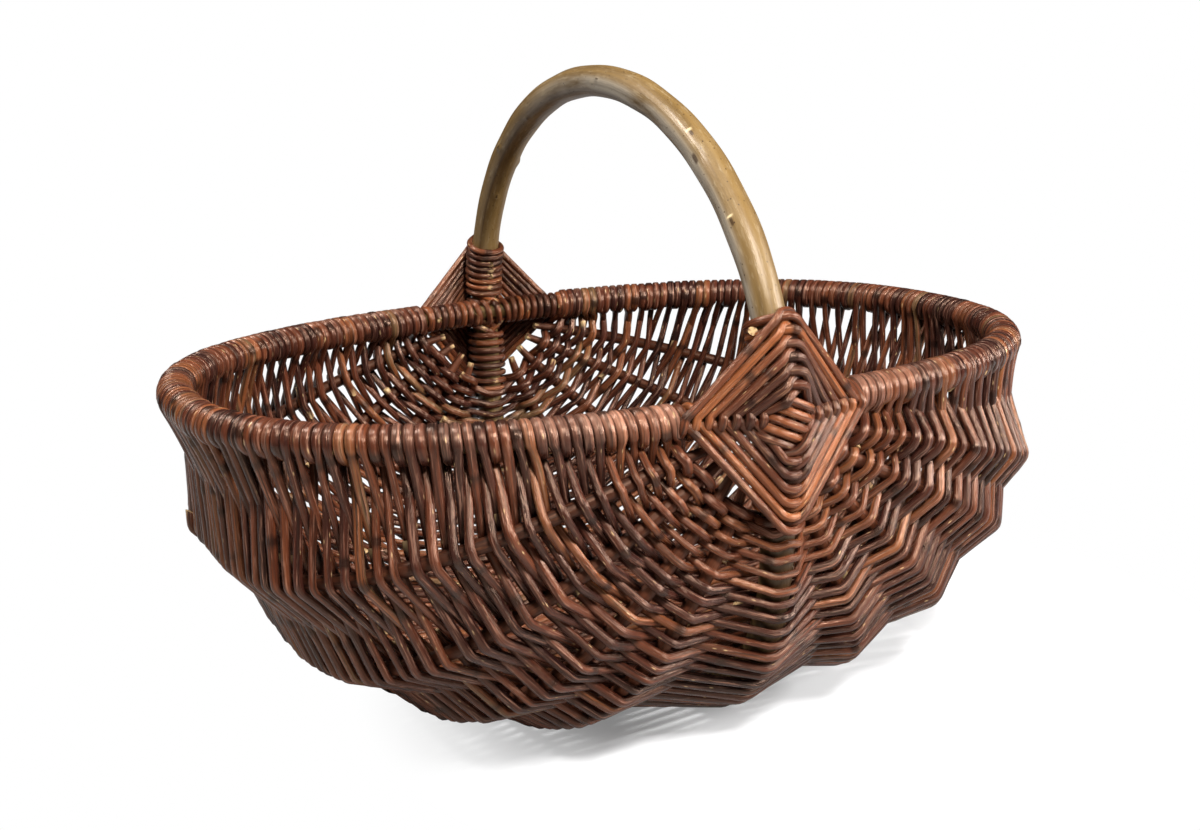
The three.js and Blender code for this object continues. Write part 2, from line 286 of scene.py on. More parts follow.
class Skeleton:
    """The hoops' and ribs' lines, and the frame rods in the order in which a weaving rod crosses them."""

    # Length at either end of each kind of rod that the weave leaves free.
    RIM_START = 0.062
    RIB_START = 0.013
    KEEL_START = 0.0645

    def __init__(self, sizes: FrameSizes) -> None:
        """Makes all lines.

        Args:
            sizes: The frame's sizes.
        """
        self.sizes = sizes
        width, span, level = sizes.rim_half_width, sizes.handle_half_span, sizes.rim_level
        self.rims = [
            RodLine(side, width, sizes.rim_half_length, 0.0, level, plan=sizes.rim_squareness)
            for side in (-1, 1)
        ]
        self.keel = RodLine(1, span, 0.0, sizes.keel_depth, level, profile=sizes.keel_squareness)
        self.handle = RodLine(1, span, 0.0, -sizes.handle_height, level, profile=sizes.handle_squareness)
        self.left_ribs = self._ribs(-1, sizes.left_rib_angles)
        self.right_ribs = self._ribs(1, sizes.right_rib_angles)
        rim, bow = sizes.rim_rod_radius, sizes.handle_rod_radius
        self.members = [
            Member(self.rims[0], rim, rim, self.RIM_START), *self.left_ribs,
            Member(self.keel, bow, bow, self.KEEL_START), *reversed(self.right_ribs),
            Member(self.rims[1], rim, rim, self.RIM_START),
        ]

    def _ribs(self, side: int, angles: Sequence[float]) -> list[Member]:
        """One side's ribs, from the rim down.

        Args:
            side: 1 for the right side, -1 for the left one.
            angles: Degrees below the rim at which each rib lies in the middle.

        Returns:
            The ribs.
        """
        s, ribs = self.sizes, []
        bend = 2 / s.rib_section_squareness
        for number, degrees in enumerate(angles):
            angle = math.radians(degrees)
            share = number / (len(angles) - 1)
            to_keel = (number + 1) / (len(angles) + 1)
            line = RodLine(
                side, s.rib_half_width, s.rib_half_length * math.cos(angle) ** bend,
                s.rib_depth * math.sin(angle) ** bend, s.rim_level,
                out_start=s.first_tip_out + (s.last_tip_out - s.first_tip_out) * share,
                down_start=s.first_tip_down + (s.last_tip_down - s.first_tip_down) * share,
                plan=s.rib_plan_squareness,
                profile=s.rib_side_squareness + (s.keel_squareness - s.rib_side_squareness) * to_keel,
            )
            ribs.append(Member(line, s.rib_rod_radius, s.rib_tip_radius, self.RIB_START, s.rib_taper_length))
        return ribs


@dataclass
class Rod:
    """One willow rod along a path.

    Args:
        points: Its centreline.
        radii: Its radius at every point.
        tone: Its shade, from 0 to 1.
        seed: A number of its own that moves its bark pattern.
        buds: Places of buds, in metres from its start.
        slant: How far its cut ends slant, as a share of its radius.
        facing: The way its outer side looks at every point, or nothing to carry it along.
        squared: How far its section is pressed square at every point, from 0 to 1.
        painted_sheen: How strongly a painted sheen lightens it at every point, from 0 to 1.
    """

    points: Array
    radii: Array
    tone: float
    seed: float
    buds: Sequence[float] = ()
    slant: float = 0.6
    facing: Optional[Array] = None
    squared: Optional[Array] = None
    painted_sheen: Optional[Array] = None


class RodMesher:
    """Builds one mesh out of many rods, with bark coordinates for the finish."""

    # Per-point layers. The one for buds also carries painted shade on the keel, and the last one carries a
    # painted sheen on the rim's wraps.
    LAYERS = {"bark": "FLOAT_VECTOR", "tone": "FLOAT", "pith": "FLOAT", "bud_and_painted_shade": "FLOAT", "painted_sheen": "FLOAT"}
    BUD_LENGTH = 0.0028
    BUD_SWELLING = 0.13
    PRESSED_POWER = 2.4
    BARK_RADIUS = 0.5
    BARK_PER_METRE = 10
    SEED_SHIFTS = (7.3, 3.1, 11.7)
    SMOOTH_DEGREES = 50

    def __init__(self, sides: int, rods: Sequence[Rod]) -> None:
        """Gathers the rods.

        Args:
            sides: Sides of a rod's section.
            rods: All rods of the piece.
        """
        self.sides = sides
        self.verts: list[Array] = []
        self.faces: list[tuple[int, ...]] = []
        self.layers: dict[str, list[Array]] = {label: [] for label in self.LAYERS}
        self.count = 0
        for rod in rods:
            self._add(rod)

    @staticmethod
    def _frames(points: Array, facing: Optional[Array]) -> tuple[Array, Array, Array]:
        """Directions along, across and beside a path.

        Args:
            points: The path.
            facing: The way across at every point, or nothing to carry it along without twist.

        Returns:
            The three directions at every point.
        """
        along = np.empty_like(points)
        along[1:-1] = points[2:] - points[:-2]
        along[0], along[-1] = points[1] - points[0], points[-1] - points[-2]
        along = unit(along)
        if facing is not None:
            across = unit(facing - along * np.sum(facing * along, axis=1, keepdims=True))
            return along, across, np.cross(along, across)
        across = np.empty_like(points)
        guess = UP if abs(along[0][2]) < 0.9 else RIGHT
        for i, direction in enumerate(along):
            guess = guess - direction * float(guess @ direction)
            guess = guess / max(float(np.linalg.norm(guess)), 1e-9)
            across[i] = guess
        return along, across, np.cross(along, across)

    def _add(self, rod: Rod) -> None:
        """Adds a rod with closed, slanting ends.

        Args:
            rod: The rod.
        """
        sides, rings = self.sides, len(rod.points)
        along, across, beside = self._frames(rod.points, rod.facing)
        walked = walked_along(rod.points)
        bump = np.zeros(rings)
        for place in rod.buds:
            bump += np.exp(-(((walked - place) / self.BUD_LENGTH) ** 2))
        angles = np.arange(sides) * 2 * math.pi / sides
        cos, sin = np.cos(angles), np.sin(angles)
        ring = across[:, None] * cos[None, :, None] + beside[:, None] * sin[None, :, None]
        ring *= (rod.radii * (1 + self.BUD_SWELLING * bump))[:, None, None]
        if rod.squared is not None:
            power = 2 + self.PRESSED_POWER * rod.squared[:, None]
            ring *= ((np.abs(cos) ** power + np.abs(sin) ** power) ** (-1 / power))[:, :, None]
        verts = rod.points[:, None] + ring
        slant = rod.slant * cos[:, None] * rod.radii[0]
        verts[0] += along[0] * slant
        verts[-1] += along[-1] * slant * rod.radii[-1] / rod.radii[0]
        self.verts += [verts.reshape(-1, 3), verts[0], verts[-1], verts[[0, -1]].mean(1)]
        self._add_faces(rings)
        bark = np.empty((rings, sides, 3))
        radius, length = self.BARK_RADIUS, self.BARK_PER_METRE
        for axis, values in enumerate((cos * radius, sin * radius, walked[:, None] * length)):
            bark[..., axis] = values + rod.seed * self.SEED_SHIFTS[axis]
        self.layers["bark"] += [bark.reshape(-1, 3), bark[0], bark[-1], bark[[0, -1], 0]]
        # A painted sheen, none unless the rod carries one.
        painted_sheen = np.zeros(rings) if rod.painted_sheen is None else rod.painted_sheen
        for label, wall, cut in (
            ("tone", np.full(rings, rod.tone), rod.tone), ("pith", np.zeros(rings), 1.0),
            ("bud_and_painted_shade", np.minimum(bump, 1), 0.0), ("painted_sheen", painted_sheen, 0.0),
        ):
            self.layers[label] += [np.repeat(wall, sides), np.full(2 * sides + 2, cut)]
        self.count += (rings + 2) * sides + 2

    def _add_faces(self, rings: int) -> None:
        """Adds the faces of a rod: its wall, then the fans that close both ends.

        Args:
            rings: Number of rings of points along the rod.
        """
        sides = self.sides
        around = [(i, (i + 1) % sides) for i in range(sides)]
        for a in range(self.count, self.count + (rings - 1) * sides, sides):
            self.faces += [(a + i, a + j, a + sides + j, a + sides + i) for i, j in around]
        cap = self.count + rings * sides
        middle = cap + 2 * sides
        for i, j in around:
            self.faces += [(cap + j, cap + i, middle), (cap + sides + i, cap + sides + j, middle + 1)]

    def finish(self, name: str, material: Material) -> Piece:
        """Makes the object.

        Args:
            name: The piece's name.
            material: Its finish.

        Returns:
            The new object, in the scene.
        """
        mesh = bpy.data.meshes.new(name)
        mesh.from_pydata(np.concatenate(self.verts).tolist(), [], self.faces)
        for label, kind in self.LAYERS.items():
            values = np.concatenate(self.layers[label]).astype(np.float32).ravel()
            value = "vector" if kind == "FLOAT_VECTOR" else "value"
            mesh.attributes.new(label, kind, "POINT").data.foreach_set(value, values)
        mesh.materials.append(material)
        mesh.update()
        piece = bpy.data.objects.new(name, mesh)
        bpy.context.scene.collection.objects.link(piece)
        self._close_ends(piece)
        return piece

    def _close_ends(self, piece: Piece) -> None:
        """Joins the caps to the rods and shades the rods smooth.

        Args:
            piece: The piece.
        """
        bpy.ops.object.select_all(action="DESELECT")
        piece.select_set(True)
        bpy.context.view_layer.objects.active = piece
        bpy.ops.object.mode_set(mode="EDIT")
        bpy.ops.mesh.select_all(action="SELECT")
        bpy.ops.mesh.remove_doubles(threshold=1e-6)
        bpy.ops.object.mode_set(mode="OBJECT")
        bpy.ops.object.shade_smooth_by_angle(angle=math.radians(self.SMOOTH_DEGREES))
        piece.select_set(False)


@dataclass(frozen=True)
class NodeTree:
    """A tree of shader nodes that takes each node with its inputs.

    Args:
        tree: The tree in Blender.
    """

    tree: bpy.types.NodeTree

    def feed(self, node: bpy.types.Node, inputs: Inputs) -> None:
        """Links the inputs that get another node's output, and sets the others.

        Args:
            node: The node.
            inputs: What each input gets, by its name or number.
        """
        for name, value in inputs.items():
            if isinstance(value, Socket):
                self.tree.links.new(value, node.inputs[name])
            else:
                node.inputs[name].default_value = value

    def node(self, kind: str, inputs: Inputs, **settings: object) -> bpy.types.Node:
        """Adds a node.

        Args:
            kind: Its type, without the words ShaderNode in front.
            inputs: What each input gets, by its name or number.
            settings: The node's own settings.

        Returns:
            The new node.
        """
        node = self.tree.nodes.new(f"ShaderNode{kind}")
        for name, value in settings.items():
            setattr(node, name, value)
        self.feed(node, inputs)
        return node

    def add(self, kind: str, inputs: Inputs, output: Union[int, str] = 0, **settings: object) -> Socket:
        """Adds a node and returns one of its outputs, the first one if none is named."""
        return self.node(kind, inputs, **settings).outputs[output]

    def attribute(self, name: str) -> Socket:
        """One of the mesh's own values."""
        return self.add("Attribute", {}, "Fac", attribute_name=name)

    def product(self, first: Socket, second: Union[float, Socket]) -> Socket:
        """One value times another."""
        return self.add("Math", {0: first, 1: second}, operation="MULTIPLY")

    def noise(self, place: Socket, scale: Union[float, Socket], detail: float, rough: float) -> Socket:
        """Soft noise at a place."""
        inputs = {"Vector": place, "Scale": scale, "Detail": detail, "Roughness": rough}
        return self.add("TexNoise", inputs)

    def spread(
        self, value: Socket, limits: tuple[float, float], most: float = 1.0, least: float = 0.0,
        **settings: object,
    ) -> Socket:
        """Spreads a value from its two limits to a strength from least to most."""
        ends = {"From Min": limits[0], "From Max": limits[1], "To Min": least, "To Max": most}
        return self.add("MapRange", {"Value": value, **ends}, **settings)


class BarkShader:
    """The node group that every willow finish shares: streaks, blotches, specks and a height."""

    NAME = "willow_bark"
    INPUTS = {"Streak Length": 0.35, "Grain": 6.0, "Fleck Scale": 9.0, "Speck Scale": 5.5}
    OUTPUTS = ("Streak", "Blotch", "Fleck", "Speck", "Height")
    # Scale, detail and roughness of each noise; the fleck's scale is an input.
    STREAK_NOISE = (1.0, 4.0, 0.62)
    BLOTCH_NOISE = (1.9, 3.0, 0.6)
    FLECK_NOISE = (3.0, 0.65)
    SPECK_SHAPE = (1.0, 1.0, 4.5)
    SPECK_LIMITS = (0.16, 0.06)
    FLECK_HEIGHT = 0.5

    @classmethod
    def group(cls) -> bpy.types.ShaderNodeTree:
        """Returns the group, and builds it the first time.

        Returns:
            The group, which takes coordinates and the inputs and gives the masks and the height.
        """
        if cls.NAME in bpy.data.node_groups:
            return bpy.data.node_groups[cls.NAME]
        group = bpy.data.node_groups.new(cls.NAME, "ShaderNodeTree")
        face, tree = group.interface, NodeTree(group)
        face.new_socket("Coordinates", in_out="INPUT", socket_type="NodeSocketVector")
        for name, value in cls.INPUTS.items():
            face.new_socket(name, in_out="INPUT", socket_type="NodeSocketFloat").default_value = value
        for name in cls.OUTPUTS:
            face.new_socket(name, in_out="OUTPUT", socket_type="NodeSocketFloat")
        given = group.nodes.new("NodeGroupInput").outputs
        place, grain = given["Coordinates"], given["Grain"]
        stretch = tree.add("CombineXYZ", {"X": grain, "Y": grain, "Z": given["Streak Length"]})
        streak = tree.noise(
            tree.add("VectorMath", {0: place, 1: stretch}, operation="MULTIPLY"), *cls.STREAK_NOISE,
        )
        blotch = tree.noise(place, *cls.BLOTCH_NOISE)
        fleck = tree.noise(place, given["Fleck Scale"], *cls.FLECK_NOISE)
        rounded = tree.add("VectorMath", {0: place, 1: cls.SPECK_SHAPE}, operation="MULTIPLY")
        away = tree.add("TexVoronoi", {"Vector": rounded, "Scale": given["Speck Scale"]}, "Distance")
        speck = tree.spread(away, cls.SPECK_LIMITS)
        height = tree.add("Math", {0: fleck, 1: cls.FLECK_HEIGHT, 2: streak}, operation="MULTIPLY_ADD")
        masks = zip(cls.OUTPUTS, (streak, blotch, fleck, speck, height))
        tree.feed(group.nodes.new("NodeGroupOutput"), dict(masks))
        return group


@dataclass(frozen=True)
class WillowFinish:
    """A willow rod's finish.

    Args:
        name: Name of the material.
        tones: Places and colours of the rods' shades, the first at 0 and the last at 1.
        dark: Colour of streaks, specks and buds, and of the painted shade on the keel.
        light: Colour of scuffs, and of the painted sheen on the rim's wraps.
        pith: Colour of the cut ends and chips.
        mottle: How far the shade wanders along a rod, as a share of the tones.
        streaks: How strongly the streaks darken.
        scuffs: How strongly the flecks lighten.
        specks: How strongly specks darken.
        painted_sheen_strength: How strongly the painted sheen on the rim's wraps lightens them.
        chips: How strongly chips in the bark show the wood.
        fleck_scale: How fine the scuffs are.
        speck_scale: How fine the specks and chips are.
        roughness: Lowest and highest roughness.
        bump: Strength of the bump.
        streak_length: Streaks along the rod, a higher value makes them shorter.
        grain: Streaks round the rod.
        sheen_level: How strongly the bark mirrors.
        sheen: Tint of the mirrored light.
        grey: Colour of the handle's grey side.
    """

    name: str
    tones: tuple[tuple[float, Colour], ...]
    dark: Colour
    light: Colour
    pith: Colour = (184, 154, 110)
    mottle: float = 1.0
    streaks: float = 0.6
    scuffs: float = 0.25
    specks: float = 0.0
    painted_sheen_strength: float = 0.0
    chips: float = 0.0
    fleck_scale: float = 9.0
    speck_scale: float = 5.5
    roughness: tuple[float, float] = (0.36, 0.58)
    bump: float = 0.5
    streak_length: float = 1.3
    grain: float = 5.0
    sheen_level: float = 0.5
    sheen: Colour = (255, 208, 178)
    grey: Colour = (150, 142, 122)

    # The two values of a mask or noise between which a mark grows from nothing to its full strength.
    GREY_PATCH = (0.3, 0.5)
    PAINTED_SHEEN_RAMP = (0.2, 0.95)
    STREAK = (0.44, 0.68)
    FLECK = (0.55, 0.72)
    SPECK = (0.0, 1.0)
    CHIPPED_PATCH = (0.47, 0.55)
    BUD_AND_SHADE = (0.15, 0.7)
    GLOSS = (0.3, 0.7)
    GREY_STRENGTH = 0.85
    BUD_AND_SHADE_STRENGTH = 0.8
    BUMP_DEPTH = 0.0008

    def make(self) -> Material:
        """Builds the material.

        Returns:
            The new material.
        """
        material = bpy.data.materials.new(self.name)
        material.use_nodes = True
        tree = NodeTree(material.node_tree)
        bark = tree.node("Group", {
            "Coordinates": tree.add("Attribute", {}, "Vector", attribute_name="bark"),
            "Streak Length": self.streak_length, "Grain": self.grain,
            "Fleck Scale": self.fleck_scale, "Speck Scale": self.speck_scale,
        }, node_tree=BarkShader.group()).outputs
        smooth, rough = self.roughness
        bump = {"Strength": self.bump, "Distance": self.BUMP_DEPTH, "Height": bark["Height"]}
        tree.feed(material.node_tree.nodes["Principled BSDF"], {
            "Base Color": self._colour(tree, bark),
            "Specular IOR Level": self.sheen_level,
            "Specular Tint": linear(self.sheen),
            "Roughness": tree.spread(bark["Streak"], self.GLOSS, rough, smooth),
            "Normal": tree.add("Bump", bump),
        })
        return material

    def _colour(self, tree: NodeTree, bark: bpy.types.NodeOutputs) -> Socket:
        """The bark's colour: each rod's shade with one kind of mark over another.

        Args:
            tree: The material's nodes.
            bark: The outputs of the bark group.

        Returns:
            The colour.
        """
        blotch, speck = bark["Blotch"], bark["Speck"]
        tone = {0: blotch, 1: self.mottle, 2: tree.attribute("tone")}
        wander = tree.add("Math", tone, operation="MULTIPLY_ADD")
        shade = tree.add("Math", {0: wander, 1: 0.5 * self.mottle}, operation="SUBTRACT", use_clamp=True)
        ramp = tree.node("ValToRGB", {"Fac": shade})
        stops = ramp.color_ramp.elements
        stops[0].color, stops[1].color = linear(self.tones[0][1]), linear(self.tones[-1][1])
        for place, tint in self.tones[1:-1]:
            stops.new(place).color = linear(tint)
        grey_patch = tree.spread(blotch, self.GREY_PATCH, self.GREY_STRENGTH)
        chipped_patch = tree.spread(blotch, self.CHIPPED_PATCH)
        colour = ramp.outputs["Color"]
        for mask, tint in (
            (tree.product(grey_patch, tree.attribute("grey")), self.grey),
            # A painted sheen on the rim's wraps, lighter on their top and outer side.
            (tree.spread(tree.attribute("painted_sheen"), self.PAINTED_SHEEN_RAMP, self.painted_sheen_strength), self.light),
            (tree.spread(bark["Streak"], self.STREAK, self.streaks), self.dark),
            (tree.spread(bark["Fleck"], self.FLECK, self.scuffs), self.light),
            (tree.spread(speck, self.SPECK, self.specks), self.dark),
            (tree.product(tree.spread(speck, self.SPECK, self.chips), chipped_patch), self.pith),
            # Buds and scars, and on the keel's outer side painted shade.
            (tree.spread(tree.attribute("bud_and_painted_shade"), self.BUD_AND_SHADE, self.BUD_AND_SHADE_STRENGTH), self.dark),
            (tree.attribute("pith"), self.pith),
        ):
            colour = tree.add("Mix", {0: mask, 6: colour, 7: linear(tint)}, 2, data_type="RGBA")
        return colour


class Finishes:
    """The basket's finishes."""

    WEAVE = WillowFinish(
        "boiled_willow_weave",
        (
            (0.0, (32, 15, 13)), (0.25, (56, 27, 20)), (0.5, (80, 40, 25)), (0.72, (97, 52, 31)),
            (0.88, (114, 66, 38)), (1.0, (96, 71, 47)),
        ),
        # The light colour serves the scuffs and the painted sheen on the rim's wraps.
        dark=(20, 10, 8), light=(168, 122, 100), streaks=0.95, scuffs=0.5, painted_sheen_strength=0.58, chips=0.85,
        fleck_scale=5.0, speck_scale=1.9, roughness=(0.15, 0.38), bump=0.9, streak_length=1.6, grain=4.6,
        sheen_level=0.45,
    )
    LASHING = replace(
        WEAVE, name="boiled_willow_lashing",
        tones=((0.0, (44, 24, 20)), (0.3, (74, 38, 25)), (0.65, (100, 53, 32)), (1.0, (128, 71, 38))),
        dark=(24, 12, 10), light=(168, 120, 88), mottle=0.7, streaks=0.9, painted_sheen_strength=0.0,
    )
    FRAME = WillowFinish(
        "boiled_willow_frame",
        ((0.0, (50, 24, 15)), (1.0, (84, 43, 25))),
        dark=(22, 11, 9), light=(120, 76, 50), streaks=0.8, scuffs=0.35, sheen_level=0.3,
    )
    HANDLE = WillowFinish(
        "barked_handle_rod",
        ((0.0, (76, 56, 25)), (0.5, (108, 84, 48)), (1.0, (132, 111, 78))),
        # Its dark colour also paints shade on the keel's outer side.
        dark=(46, 29, 16), light=(176, 160, 130), pith=(214, 190, 146), mottle=1.1, streaks=0.5,
        scuffs=0.22, specks=1.0, roughness=(0.3, 0.52), streak_length=0.18, grain=4.2, sheen_level=0.35,
        sheen=(255, 240, 224), grey=(164, 154, 138),
    )


@dataclass(frozen=True)
class Scar:
    """A mark on the handle.

    Args:
        length: Where it is along the handle.
        degrees: Where it is round the rod, 0 inside the bow and 180 outside.
        size: Its radius.
        rise: How far the bark stands up there.
        chip: How far it is chipped down to the pale wood, from 0 to 1.
    """

    length: float
    degrees: float
    size: float
    rise: float
    chip: float

    # Middle, half length and half width in sizes of the scar, and how sharply it ends.
    SWELLING = (0.0, 2.2, 1.9, 2)
    DARK_LINE = (-0.7, 1.5, 0.55, 4)
    PALE_CUT = (0.9, 0.42, 0.95, 4)

    def spot(self, offset: Array, ahead: Array, shape: tuple[float, float, float, int]) -> Array:
        """How strongly one of the shapes shows.

        Args:
            offset: Places, measured from the scar.
            ahead: Direction of the handle there.
            shape: One of the three shapes.

        Returns:
            Strengths from 0 to 1.
        """
        middle, length, width, power = shape
        along = offset @ ahead
        aside = np.linalg.norm(offset - along[:, None] * ahead, axis=1)
        from_middle = (along / self.size - middle) / length
        return np.exp(-(from_middle**power) - (aside / self.size / width) ** power)


@dataclass
class Hoops:
    """The handle hoop with its keel, the rim hoop and the ribs."""

    SCARS = (
        Scar(0.1803, -146.0, 0.0019, 0.0003, 0.9), Scar(0.1138, -122.0, 0.0021, 0.0003, 1.0),
        Scar(0.1655, -106.0, 0.0028, -0.0009, 0.0), Scar(0.4193, -48.0, 0.0013, 0.0005, 0.1),
        Scar(0.2949, -104.0, 0.0012, 0.0006, 0.0), Scar(0.2609, -172.0, 0.0012, 0.0006, 0.8),
        Scar(0.5246, -14.0, 0.0012, 0.0005, 0.2), Scar(0.4759, -84.0, 0.0014, 0.0011, 0.1),
        Scar(0.2200, 70.0, 0.0018, 0.0010, 0.6), Scar(0.3700, 120.0, 0.0016, 0.0010, 0.3),
        Scar(0.4900, 60.0, 0.0018, 0.0010, 0.7),
    )

    skeleton: Skeleton
    handle_sides: int = 72
    rod_sides: int = 16
    handle_step: float = 0.0011
    keel_step: float = 0.003
    step: float = 0.004
    wave: float = 0.00013
    wave_rates: tuple[float, ...] = (19.0, 43.0, 77.0, 131.0)
    taper: float = 0.0003
    seed: int = 5
    grey_degrees: float = -78.0
    grey_width: float = 34.0
    grey_end: float = 0.44
    grey_fade_in: float = 0.03
    grey_fade_out: float = 0.14
    # Painted shade on the keel's outer side below the rim, where it shows between the rows of the weave.
    keel_painted_shade_below: float = 0.02
    keel_painted_shade_fade: float = 0.006
    keel_painted_shade_least: float = 0.3
    handle_samples: int = 400
    keel_samples: int = 300
    first_rib_seed: float = 0.13
    rib_seed_step: float = 0.21
    right_seed_step: float = 0.09

    def _handle_rod(self) -> Rod:
        """The handle and the keel as one bent rod, with a joint hidden under the keel.

        Returns:
            The rod.
        """
        s = self.skeleton
        points = joined_hoop(s.handle.stepped(self.handle_step), s.keel.stepped(self.keel_step))
        walked = walked_along(points)
        rng = np.random.default_rng(self.seed)
        waves = sum(self.wave * np.sin(walked * rate + rng.uniform(0, 6.3)) for rate in self.wave_rates)
        taper = self.taper * np.cos(walked / walked[-1] * 2 * math.pi)
        return Rod(points, s.sizes.handle_rod_radius + waves - taper, tone=0.5, seed=0.37, slant=0.0)

    def _age(self, piece: Piece) -> None:
        """Raises the scars of side shoots on the handle, and marks them, its grey side and painted keel
        shade.

        Args:
            piece: The handle hoop.
        """
        mesh, line, sizes = piece.data, self.skeleton.handle, self.skeleton.sizes
        flat = np.empty(len(mesh.vertices) * 3, np.float32)
        mesh.vertices.foreach_get("co", flat)
        places = flat.reshape(-1, 3).astype(float)
        lengths = np.linspace(0, line.length, self.handle_samples)
        middles, aheads = line.at(lengths), line.ahead(lengths)
        insides = unit(np.cross(aheads, RIGHT))
        near = nearest(places[:, 1:], middles[:, 1:])
        off = places - middles[near]
        degrees = np.degrees(np.arctan2(off[:, 0], np.sum(off * insides[near], axis=1)))
        turned = (degrees - self.grey_degrees + 180) % 360 - 180
        span = np.clip(lengths[near] / self.grey_fade_in, 0, 1)
        span *= np.clip((self.grey_end - lengths[near]) / self.grey_fade_out, 0, 1)
        grey = np.exp(-((turned / self.grey_width) ** 4)) * span
        # Painted shade on the keel's outer side, with the scars' dark lines over it.
        dark, chip, moved = self._keel_painted_shade(places), np.zeros(len(places)), places.copy()
        for scar in self.SCARS:
            i = int(np.searchsorted(lengths, scar.length))
            angle = math.radians(scar.degrees)
            way = math.cos(angle) * insides[i] + math.sin(angle) * RIGHT
            offset = places - (middles[i] + way * sizes.handle_rod_radius)
            moved += way * (scar.rise * scar.spot(offset, aheads[i], scar.SWELLING))[:, None]
            dark = np.maximum(dark, scar.spot(offset, aheads[i], scar.DARK_LINE))
            chip = np.maximum(chip, scar.chip * scar.spot(offset, aheads[i], scar.PALE_CUT))
        mesh.vertices.foreach_set("co", moved.astype(np.float32).ravel())
        mesh.attributes.new("grey", "FLOAT", "POINT")
        for label, values in (("bud_and_painted_shade", dark), ("pith", chip), ("grey", grey)):
            mesh.attributes[label].data.foreach_set("value", values.astype(np.float32))
        mesh.update()

    def _keel_painted_shade(self, places: Array) -> Array:
        """How far painted shade darkens the keel's outer side, where it shows between the rows of the weave.

        Args:
            places: Places on the hoop.

        Returns:
            The painted shade there, from 0 to 1.
        """
        s = self.skeleton
        keel = s.keel.at(np.linspace(0, s.keel.length, self.keel_samples))
        middles = keel[nearest(places, keel)]
        away = unit(middles - UP * s.sizes.rim_level)
        outside = np.sum((places - middles) * away, axis=1) / self.keel_painted_shade_fade + self.keel_painted_shade_least
        return np.clip(outside, 0, 1) * (places[:, 2] < s.sizes.rim_level - self.keel_painted_shade_below)

    def _rim_rod(self) -> Rod:
        """The rim rod, which the weave hides but for a short stretch at each crossing.

        Returns:
            The rod.
        """
        points = joined_hoop(*(line.stepped(self.step) for line in self.skeleton.rims))
        radii = np.full(len(points), self.skeleton.sizes.rim_rod_radius)
        return Rod(points, radii, tone=0.2, seed=0.71, slant=0.0)

    def _rib_rod(self, rib: Member, seed: float) -> Rod:
        """A rib, with one number for its shade and its pattern."""
        lengths = np.linspace(0, rib.line.length, int(rib.line.length / self.step))
        return Rod(rib.line.at(lengths), rib.radius_at(lengths), tone=seed, seed=seed, slant=0.0)

    def build(self) -> None:
        """Builds all rods of the frame and puts them in place of their solids."""
        wood, rim_wood, rib_wood = Finishes.HANDLE.make(), Finishes.HANDLE.make(), Finishes.FRAME.make()
        handle = RodMesher(self.handle_sides, [self._handle_rod()]).finish("handle_rod", wood)
        self._age(handle)
        fit(handle, "handle_hoop")
        rim = RodMesher(self.rod_sides, [self._rim_rod()]).finish("rim_rod", rim_wood)
        fit(rim, "rim_hoop")
        for side, ribs in (("left", self.skeleton.left_ribs), ("right", self.skeleton.right_ribs)):
            for i, rib in enumerate(ribs):
                name = f"rib_{side}_{i + 1}"
                seed = self.first_rib_seed + i * self.rib_seed_step + (side == "right") * self.right_seed_step
                piece = RodMesher(self.rod_sides, [self._rib_rod(rib, seed)]).finish(f"{name}_rod", rib_wood)
                fit(piece, name)


@dataclass(frozen=True)
class RimTurn:
    """A turn of the weave round the rim, between a row outside and the next one inside.

    Args:
        outer: The row that leaves the rim outside, or -1 at the end of a course.
        inner: The row that leaves the rim inside, or -1 at the start of a course.
        wraps: How many wraps show on the rim.
        start: The share of the woven length at which the turn starts outside.
        pitch: The share that a full wrap takes.
    """

    outer: int
    inner: int
    wraps: int
    start: float
    pitch: float

    def share_at(self, degrees: Array) -> Array:
        """The share at degrees round the rim, 0 outside, 90 on top and 180 inside, counted on."""
        return self.start + self.pitch * np.asarray(degrees) / 360

    @property
    def inner_degrees(self) -> float:
        """Where the turn ends inside."""
        return 180.0 + 360.0 * (self.wraps - 1)


